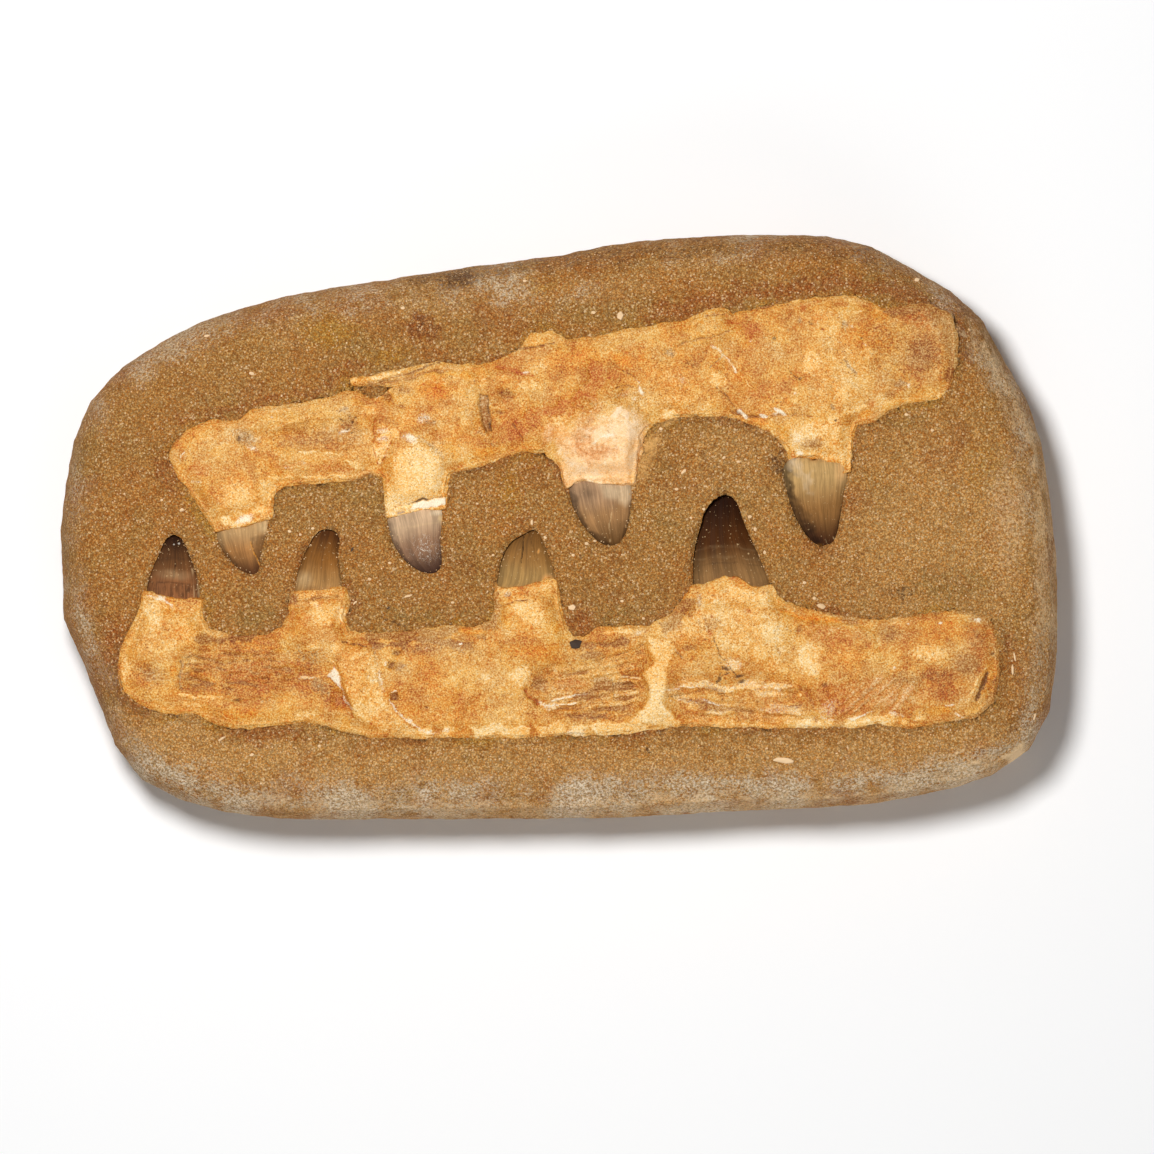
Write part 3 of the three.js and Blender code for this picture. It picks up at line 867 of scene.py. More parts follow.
bone = {
    "voxel": 0.42,
    "seenFrom": 43.5,       # what lies lower is out of sight in the rock
    "closeGap": 0.42,
    "lift": 0.3,
    "lowRim": 0.6,          # share of their height that the bones lose along their outline
    "smoothing": 22,
    "wallHeight": 45.5,     # where the outline is read, just under the edge of the top
    "warp": ((0.8, 6, 3), (0.45, 2.2, 5), (0.2, 1, 7)),
    "ragged": ((0.5, 5, 1), (0.4, 1.8, 2)),
    "dents": ((0.22, 9, 11), (0.16, 4, 12)),
    "grit": ((0.1, 1.9, 13), (0.07, 1.05, 14)),
    "sandy": ((1.5, 11, 17), (0.7, 2, 18)),
    "tan": (0.62, 0.28, 0.05),
    "amber": (0.76, 0.38, 0.072),
    "gold": (0.84, 0.46, 0.11),
    "cream": (0.93, 0.62, 0.25),
    "ochre": (0.8, 0.345, 0.034),
    "rust": (0.6, 0.215, 0.03),
    "brown": (0.44, 0.19, 0.04),
    "grey": (0.53, 0.32, 0.13),
    "peach": (0.98, 0.66, 0.36),
    "straw": (0.72, 0.39, 0.11),
    "white": (0.97, 0.86, 0.64),
    "dark": (0.1, 0.04, 0.014),
    "sand": (0.5, 0.235, 0.052),
    "pit": (0.5, 0.32, 0.2),
    "roughness": 0.62,
}

upperMarks = [
    line(1.1, (-62, 50.6), (-52, 53.4), (-42, 56.2), brown=0.9, dark=0.35, rise=-0.6),
    line(5, (118, 76.5), (128, 77.5), (136, 75), (139, 66), (138.6, 56), sand=1, brown=0.55),
    oval(-58.2, 32.6, 5, 4, cream=1),
    oval(-63.4, 26.3, 5, 5, cream=1),
    line(3, (-117, 2), (-113.6, 1.4), (-110, 0), cream=1, bare=1),
    line(4, (27.6, 31), (27, 24), (26.6, 16), cream=1, bare=1),
    oval(38.7, 39.6, 6, 3, cream=1, bare=1),
    oval(107.7, 60.5, 7, 5, cream=0.7),
    line(4, (94, 36.6), (102, 40.6), (112, 43.6), cream=1, bare=1),
    oval(76, 42.4, 9, 5, ochre=0.8, rust=0.3, brown=0.35),
    oval(88.2, 35.2, 6, 4, ochre=0.9),
    oval(88, 57, 7, 9, cream=0.9),
    oval(-66, 40.6, 5, 4, cream=0.8),
    oval(-101.4, 13, 6, 9, turn=-20, bare=1, cream=1),
    line(7, (-103, 20), (-98, 17), (-88, 15.6), (-76, 16), bare=1, cream=0.5),
    oval(-60.6, 29, 4, 7, bare=1, cream=1),
    oval(-54, 47.4, 6, 3, brown=0.7),
    oval(56, 51, 9, 5, turn=-30, cream=0.75),
    line(7, (30, 33), (36, 37), (44, 39), (54, 38), bare=1, cream=0.5),
    # front block, left end
    oval(-112, 10, 16, 13, turn=-25, cream=0.75, rise=0.3),
    oval(-104, 6, 8, 7, cream=0.8),
    oval(-109.8, 2.4, 5.4, 2, turn=22, cream=1, white=0.85, rise=0.35),
    oval(-111, 2.6, 1.4, 0.9, rust=0.9, rise=-0.3),
    oval(-122, 31, 12, 5, turn=18, cream=0.45),
    line(1.1, (-132.4, 22.8), (-131.9, 25), (-130.4, 26), white=1, rise=0.3),
    line(1, (-132.3, 30), (-130.4, 32.6), grey=0.7),
    oval(-125, 19.5, 11, 5, turn=12, rust=0.75, rise=-0.35),
    line(0.7, (-128.4, 16.5), (-125, 17.2), (-122.4, 18.6), cream=1, rise=0.25),
    line(0.8, (-127.6, 15.6), (-125.2, 15.1), white=0.8, rise=0.2),
    oval(-132, 26, 4, 9, turn=20, rust=0.35),
    oval(-109, 31, 8, 5, turn=-25, grey=0.75, brown=0.4, rise=-0.5),
    oval(-111.6, 30.2, 1.6, 1.9, dark=0.7, rise=-0.4),
    oval(-106.8, 27.4, 3.4, 1.3, turn=-12, white=0.6, rise=0.2),
    line(3, (-122, 27), (-116, 28.5), (-111, 27.6), cream=0.5, rise=0.3),
    # worn panel of the front, between its ridges
    area(4, (-100, 30), (-95, 34.2), (-85, 35.8), (-77, 38), (-70.5, 38.5), (-69, 32), (-69.6, 27.4),
         (-76, 26.2), (-90, 26.4), (-98, 27), rise=-0.7, brown=0.4),
    area(4, (-98, 33), (-80, 36), (-71, 36), (-71, 28), (-95, 27), stripes=(6, 1.3), length=5, rise=0.2,
         brown=0.6),
    line(2.4, (-109, 34.8), (-103, 33.8), (-97, 34.2), (-92, 36.6), (-85, 38), cream=0.55, rise=0.45),
    oval(-100, 38, 8, 2.6, turn=6, cream=0.35),
    oval(-73.5, 36.2, 5, 3.8, turn=25, brown=0.9, rise=-0.35),
    oval(-72.4, 36.6, 1, 0.9, dark=1, rise=-0.8),
    oval(-74.2, 34.4, 0.9, 0.8, dark=1, rise=-0.7),
    oval(-75.7, 37.2, 1.1, 0.8, dark=0.9, rise=-0.7),
    oval(-70.9, 38, 0.9, 0.8, dark=0.9, rise=-0.6),
    oval(-73.4, 38.8, 1, 0.7, dark=0.8, rise=-0.6),
    oval(-72.2, 33, 0.8, 0.7, dark=0.8, rise=-0.5),
    oval(-75.2, 33.4, 3.4, 1.3, turn=20, white=0.75, rise=0.25),
    oval(-80.4, 33.4, 3.4, 1.8, turn=20, cream=0.75),
    oval(-74.5, 40.8, 2.6, 2.6, grey=0.7),
    oval(-83, 29.5, 6, 2.6, brown=0.6),
    line(1.5, (-101, 24), (-93, 25.6), (-84, 26), (-77, 25.2), (-72, 22.6), cream=0.8, rise=0.5),
    line(4, (-98.5, 20.8), (-88, 21.6), (-78, 20.8), (-73.5, 20.2), rust=0.5, rise=-0.5),
    line(0.9, (-96.6, 19.9), (-93.6, 20.9), white=0.9, rise=0.2),
    oval(-88.5, 22.4, 1.6, 0.9, grey=0.7),
    line(2, (-98, 16.4), (-88, 16.9), (-78, 17.6), (-72.5, 17.3), cream=0.85, rise=0.5),
    oval(-71.4, 21.6, 4.2, 2.4, turn=-15, cream=0.95, rise=0.3),
    line(0.6, (-99, 21), (-92, 19.4), (-83, 19), (-76, 19.6), dark=0.35, rise=-0.3),
    # ladder strip behind the front, between two wavy cracks
    line(3.6, (-61.8, 35), (-61.9, 30), (-61.6, 26), (-62.4, 23), cream=0.75, rise=0.25),
    area(1, (-64, 35.5), (-59.5, 35.5), (-59.5, 24), (-63, 22.5), stripes=(4, 1), rise=0.4, cream=1,
         white=0.4),
    area(1, (-64, 35.5), (-59.5, 35.5), (-59.5, 24), (-63, 22.5), stripes=(3, 1.1), rise=-0.35, rust=0.5),
    line(0.7, (-63.6, 37), (-64.4, 33.6), (-63.9, 30.6), (-64.8, 27), (-64.2, 23.6), (-62.6, 21.4),
         rust=0.8, dark=0.3, rise=-0.75),
    line(0.7, (-58.8, 33.6), (-58.5, 30), (-59.8, 27), (-60.8, 24.4), (-61.6, 20.6), (-61.2, 17), rust=0.8,
         dark=0.35, rise=-0.8),
    oval(-67, 30, 2.6, 8, cream=0.4),
    # thin sliver along the top and the wedge under it
    line(2.6, (-73, 50.6), (-68, 51.6), (-60, 52.4), (-52, 54.8), (-46, 56.4), (-41.8, 56.6), cream=0.7,
         ochre=0.5, rise=0.5),
    line(1.2, (-66, 50.1), (-56, 50.7), (-48, 52.6), (-41, 53.9), brown=0.9, rise=-1.1),
    line(2.6, (-47, 52), (-40, 52.9), (-33, 53), (-30.6, 51.4), ochre=0.7, rise=0.3),
    line(2, (-48, 49.4), (-42, 48.4), (-36, 48.6), rust=0.5, rise=-0.3),
    line(1.2, (-63.6, 44.4), (-62.6, 47), (-60.2, 48.8), white=0.6, cream=0.9, rise=0.4),
    oval(-59.4, 45.2, 3, 3.4, turn=30, brown=0.75, rise=-0.7),
    line(1.6, (-58.4, 45.2), (-56.4, 42.7), (-54.2, 41.2), rust=0.5, brown=0.6, rise=-0.6),
    oval(-43, 47.6, 15, 5, turn=-4, ochre=1, rust=0.4),
    oval(-40, 40, 8, 4, cream=0.5),
    oval(-57.2, 37.2, 0.9, 0.8, rust=1, dark=0.6, rise=-0.5),
    # second root and what lies over it
    area(9, (-61, 3), (-60.5, 17), (-57, 27), (-50, 31), (-43, 27), (-39.5, 20), (-39, 5), cream=0.9,
         rise=0.25),
    oval(-52, 38, 10, 7, cream=0.5),
    oval(-51.6, 30.8, 4.4, 1.9, turn=-14, white=0.8, rise=0.2),
    oval(-47, 37.4, 4.4, 2.4, turn=12, white=0.45, grey=0.3),
    oval(-44, 36, 3.4, 1.6, turn=10, grey=0.6, rise=-0.3),
    line(2.4, (-48, 31), (-44, 28.4), (-41, 23.4), grey=0.5, rise=-0.35),
    line(0.8, (-52, 22), (-50, 24.6), (-46, 25.6), brown=0.5, rise=-0.3),
    oval(-56, 14, 3, 7, ochre=0.3),
    line(0.8, (-53, 8.1), (-50.6, 8.8), (-48, 9.7), (-46, 9.7), dark=1, rise=-0.9),
    line(0.5, (-57, 6.4), (-53, 8.1), rust=0.7, rise=-0.3),
    line(0.5, (-46, 9.7), (-42, 9.9), (-39.6, 10), grey=0.9, rise=-0.4),
    area(0.7, (-51, 6.2), (-51, 8.2), (-47, 9.2), (-40.4, 9.4), (-40.2, 7), (-45, 6.6), white=1, rise=0.3),
    oval(-39.8, 7, 1.1, 1.9, ochre=1, rust=0.4, rise=-0.3),
    line(0.7, (-58, 4.2), (-52, 5.4), (-46, 6.3), (-40.5, 6.6), ochre=0.9, rise=-0.25),
    # rusty ground right of it
    oval(-37, 29, 11, 9, turn=10, ochre=0.6),
    oval(-41, 31, 6, 4, rust=0.5),
    oval(-26, 26, 7, 4, ochre=0.7),
    oval(-33, 37, 5, 4, cream=0.5),
    line(1, (-38.6, 19.4), (-31, 21), (-24, 22.6), (-20.6, 24), cream=0.7, rise=0.2),
    # bar with the slot beside it
    line(4.4, (-29.5, 51), (-30.6, 45), (-31.6, 39), (-30.4, 34), (-26.6, 31.6), (-23, 29.4), cream=0.5,
         grey=0.3, rise=0.6),
    oval(-26.5, 50.5, 6, 5.4, cream=0.6, rise=0.25),
    oval(-10, 50, 9, 5, cream=0.7),
    area(1, (-28, 45.4), (-24.8, 45.2), (-23.6, 39), (-22.9, 33.4), (-24.6, 32.4), (-26.4, 35.4),
         (-27.8, 40), rise=-1.5, brown=1, grey=0.35),
    line(0.8, (-25.2, 45), (-24.3, 39), (-23, 33), dark=0.75, rise=-0.5),
    line(1, (-24, 42.2), (-19.6, 41), cream=0.8, rise=0.3),
    line(1, (-22.8, 37.8), (-18.6, 36.6), cream=0.7, rise=0.3),
    oval(-18.5, 46, 6, 3.6, turn=-10, brown=0.75, rise=-0.6),
    oval(-20.4, 40, 3.6, 1.2, brown=0.7, rise=-0.4),
    oval(-14.6, 33, 6.5, 7.5, rust=0.9, rise=-0.3),
    line(0.9, (-16.4, 35.6), (-13.4, 31.4), (-12.4, 29), dark=0.45, rust=1, rise=-0.4),
    oval(-19, 37.4, 3, 4, ochre=0.5),
    # bump on the top edge
    oval(-7.4, 64.6, 7, 2.8, turn=10, cream=0.5, ochre=0.6, rise=0.5),
    line(0.9, (-12.6, 62.2), (-7, 63.2), (-1.6, 64.6), brown=0.9, dark=0.3, rise=-0.7),
    line(1.6, (-20.6, 55.2), (-14.6, 54.4), (-9, 53), rust=0.8, rise=-0.4),
    oval(-11.6, 54, 1.8, 0.9, white=0.6),
    oval(-6, 57, 9, 5, cream=0.6),
    oval(-19, 51.6, 6, 2, cream=0.5),
    oval(-2, 46, 9, 5, turn=20, rust=0.35),
    # third root, a smooth bulge with a reddish fold and a swirl
    area(12, (-10, 42), (0, 27), (2, 14), (26, 14.5), (28.6, 26), (29.4, 36), (24, 42), (8, 44), cream=0.6,
         rise=0.2),
    area(11, (-2, 33), (1, 24), (2, 13), (27, 13.5), (29.4, 26), (29.6, 36), (24, 40), (8, 36), peach=0.75),
    line(8, (-9, 39), (-1, 40.6), (6, 43.6), (12, 46), (13, 55), rust=0.7, rise=-0.6),
    line(9, (12.6, 42), (9, 37.6), (8.2, 33), (6.6, 29), rust=0.5, grey=0.2, rise=-0.7),
    line(8, (6.6, 29), (8.6, 26), (12, 25), (17, 26.6), rust=0.5, rise=-0.6),
    oval(7, 31, 6, 11, turn=-14, soft=1, rust=0.5),
    line(3.6, (20.6, 40.6), (16, 35.6), (13.2, 31), peach=1, cream=0.4, rise=0.3),
    line(1.4, (12.4, 29.2), (14.4, 31.4), (18, 32.4), white=0.7, rise=0.4),
    line(6, (23, 39), (25.4, 33), (25.4, 26), (22.6, 19), peach=0.95, cream=0.9, rise=0.3),
    line(2.6, (6, 24), (7.6, 19.4), cream=0.8, white=0.1, rise=0.2),
    oval(-3.4, 33, 4, 6, turn=-20, rust=0.3, peach=0.6),
    line(1.4, (28.8, 32), (27.6, 25), (27, 18), rust=0.5),
    line(1.2, (0.6, 22), (2.6, 14.6), rust=0.5),
    line(1.1, (25, 51.6), (27.4, 50.2), (28.4, 48), (29.4, 46.2), white=0.85, rise=0.4),
    oval(26.6, 44.4, 1.6, 0.9, turn=20, white=0.7),
    oval(22, 46.4, 4.4, 2.2, turn=8, grey=0.45, rust=0.5, rise=-0.9),
    line(0.8, (19.4, 48.6), (23, 49), (27, 47.4), brown=0.8, rise=-0.5),
    oval(23, 58, 7, 3.6, turn=-30, ochre=0.8),
    line(0.9, (20, 57), (23.6, 53.4), (27, 51.4), brown=0.7, rise=-0.4),
    oval(18, 52, 5, 5, ochre=0.35),
    # between the third root and the stepped edge
    line(0.8, (20, 62.4), (24, 60.6), (30, 60.2), rust=0.6, rise=-0.3),
    oval(40, 51, 24, 14, turn=-12, soft=1, cream=0.55),
    oval(8, 59, 15, 7, turn=8, ochre=0.5, cream=0.2),
    oval(52.6, 73, 9, 4.4, turn=12, cream=0.3, ochre=0.5, rise=0.5),
    line(0.7, (51, 72.5), (54, 73), (57.4, 73.6), brown=0.9, rise=-0.45),
    oval(59, 71, 3, 2, rust=0.8),
    line(0.8, (40, 62.6), (46, 64.4), (53, 65.6), (60.6, 68.4), brown=0.8, rise=-0.7),
    step(4, (40, 62.2), (46, 64), (53, 65.2), (60.6, 68), rise=0.4),
    oval(38.6, 60.8, 3.2, 3, grey=0.7, rise=-0.3),
    line(1.1, (39.6, 60.2), (44, 60.6), (45.4, 59.2), cream=0.9, rise=0.25),
    oval(47, 57, 8, 3, brown=0.4),
    oval(43.6, 51.2, 2, 2.2, rust=0.3, white=0.25),
    oval(41, 44.5, 14, 4.5, cream=0.55),
    oval(51, 42, 6, 4, cream=0.6),
    oval(60, 56, 9, 12, turn=25, cream=0.25),
    # stepped edge and the plate right of it
    line(1.1, (52.6, 63.2), (56, 60.2), (58.6, 57.2), (61.6, 53.4), white=0.65, cream=1, rise=0.4),
    line(0.8, (61.6, 53.4), (64.2, 51.4), (67.2, 49), cream=0.9, rise=0.3),
    step(7, (67.2, 49), (61.6, 53.4), (56, 60.2), (52.6, 63.2), rise=-0.5),
    line(0.7, (55, 48.6), (58, 45.6), (61.6, 41.6), (64, 39), brown=0.8, dark=0.4, rise=-0.6),
    line(1, (54.6, 49.4), (56.6, 47.6), cream=0.9),
    line(0.6, (56.8, 59.6), (54.6, 57), (52.6, 55), grey=0.8, rise=-0.3),
    oval(67.4, 68, 8, 7, rust=0.65),
    oval(73, 47, 12, 7, rust=0.4),
    oval(72, 58, 10, 12, brown=0.2),
    oval(75, 65.6, 1, 1, dark=0.75, rise=-0.4),
    oval(66.4, 65, 0.8, 0.6, white=1),
    oval(82, 45.8, 0.8, 0.6, white=0.8),
    line(1.2, (60, 75), (66, 76), (76, 77.4), (85, 78.6), cream=0.7, rise=0.35),
    line(0.6, (65, 75), (70, 76), (75, 76.6), (80, 77), brown=0.9, rise=-0.5),
    # chips along the plate's lower edge and the lip below
    line(1, (60, 40.6), (66, 39.2), (74, 38.2), (82, 38.8), (88, 38), brown=0.9, rise=-0.8),
    step(5, (88, 38.4), (82, 39.2), (74, 38.6), (66, 39.6), (60, 41), rise=-0.2),
    line(1.1, (62.8, 40.8), (65.4, 39), white=1, rise=0.4),
    line(1.1, (70.6, 39.4), (72.6, 38.4), (75.6, 39), white=1, rise=0.4),
    line(1.7, (75.6, 40.4), (78.4, 39), white=1, rise=0.5),
    line(3, (65, 37.6), (71, 36.2), (77, 34.6), (82, 32.4), ochre=0.8, cream=0.4, rise=0.3),
    # column and fourth root
    area(9, (86, 79), (88, 60), (87, 45), (92, 38), (104, 37), (108, 44), (110, 56), (104, 66), (99, 79),
         cream=0.5, rise=0.2),
    oval(99, 47, 9, 12, soft=1, cream=0.8),
    oval(85.6, 76.4, 2.4, 1.8, rust=1),
    oval(98.6, 77.6, 3.6, 1.7, turn=-5, rust=0.95),
    oval(92, 78, 6, 1.4, rust=0.4),
    line(1.8, (100, 74.4), (106, 75.8), (111.6, 75.4), cream=0.8, rise=0.3),
    oval(99.4, 69.8, 2.4, 2.8, turn=20, grey=0.85, rise=-0.4),
    oval(102.2, 69, 0.9, 0.7, white=0.9),
    oval(84.4, 72.6, 1.7, 2.2, grey=0.6, rise=-0.2),
    oval(88, 71, 1.7, 1.2, dark=0.6, rise=-0.3),
    line(1.8, (99.4, 57.6), (102, 55.6), (103.2, 54.2), grey=0.8, rise=-0.35),
    oval(92.2, 68.5, 1.1, 0.8, rust=0.9, dark=0.4, rise=-0.3),
    oval(94.6, 65.5, 0.9, 0.8, dark=0.7, rise=-0.3),
    oval(105.6, 65.6, 1.2, 0.9, dark=0.5, rise=-0.3),
    oval(106, 63, 0.8, 0.6, white=1),
    line(0.6, (80.2, 54.2), (82.4, 52.2), (84.4, 51.2), dark=0.8, rise=-0.5),
    oval(84.3, 51.2, 1.3, 1.1, grey=0.8, dark=0.4, rise=-0.3),
    oval(95.4, 41.6, 3, 1.7, turn=-32, grey=0.7, rise=-0.4),
    oval(96.2, 37, 0.8, 0.6, dark=1, rise=-0.3),
    oval(91, 42, 12, 5, rust=0.25),
    area(5, (78, 34), (86, 37), (103, 37), (103, 20), (94, 22), (82, 24), cream=0.7, rise=0.1),
    oval(83, 31, 3.6, 4, white=0.35, cream=1),
    oval(88, 29.4, 8, 3.4, ochre=0.9, brown=0.75),
    oval(81.4, 25, 1.6, 3, rust=0.8),
    oval(84, 26, 2.2, 1, white=0.9, rise=0.25),
    oval(79, 33, 4, 5, ochre=0.7),
    # worn plate at the right end
    area(9, (108, 71), (122, 76), (134, 74), (137, 62), (136, 50), (120, 46), (110, 48), (108, 60),
         brown=0.34),
    oval(113, 65, 6, 8, cream=0.4),
    oval(127, 60, 12, 14, soft=1, brown=0.9, rust=0.4),
    oval(127, 72, 12, 7, rust=0.8, brown=0.4),
    oval(134, 76, 9, 8, rust=0.9, brown=1, dark=0.12),
    oval(127, 76.6, 2.4, 1.3, ochre=0.9),
    line(1.2, (122, 75.6), (127, 75.4), (132, 71), cream=0.5, rise=0.25),
    oval(126, 58, 9, 11, rust=0.35),
    oval(119, 49.8, 4.6, 2.2, turn=8, grey=0.7, brown=0.5, rise=-0.5),
    oval(121.9, 49.2, 0.8, 1.2, white=1),
    oval(115.6, 45.6, 4, 2.4, turn=25, brown=0.7, rise=-0.3),
    oval(109, 42.6, 2.4, 3.4, rust=0.6, rise=-0.3),
    line(1.7, (107, 38.2), (111.6, 41), (116, 43), (121, 43.6), (125, 43.2), (130, 44.2), (134, 45.6),
         (136.6, 47.4), ochre=0.8, cream=0.5, rise=0.4),
    oval(107.4, 39.4, 5, 3, turn=30, ochre=0.8),
    line(1, (132, 45.4), (134.6, 46.6), (136.4, 47.6), cream=1),
    oval(136, 62, 6, 14, brown=0.5),
    line(11, (118, 77), (128, 76.6), (136, 71), (138.6, 60), (138, 50), sand=0.45, brown=0.9),
]

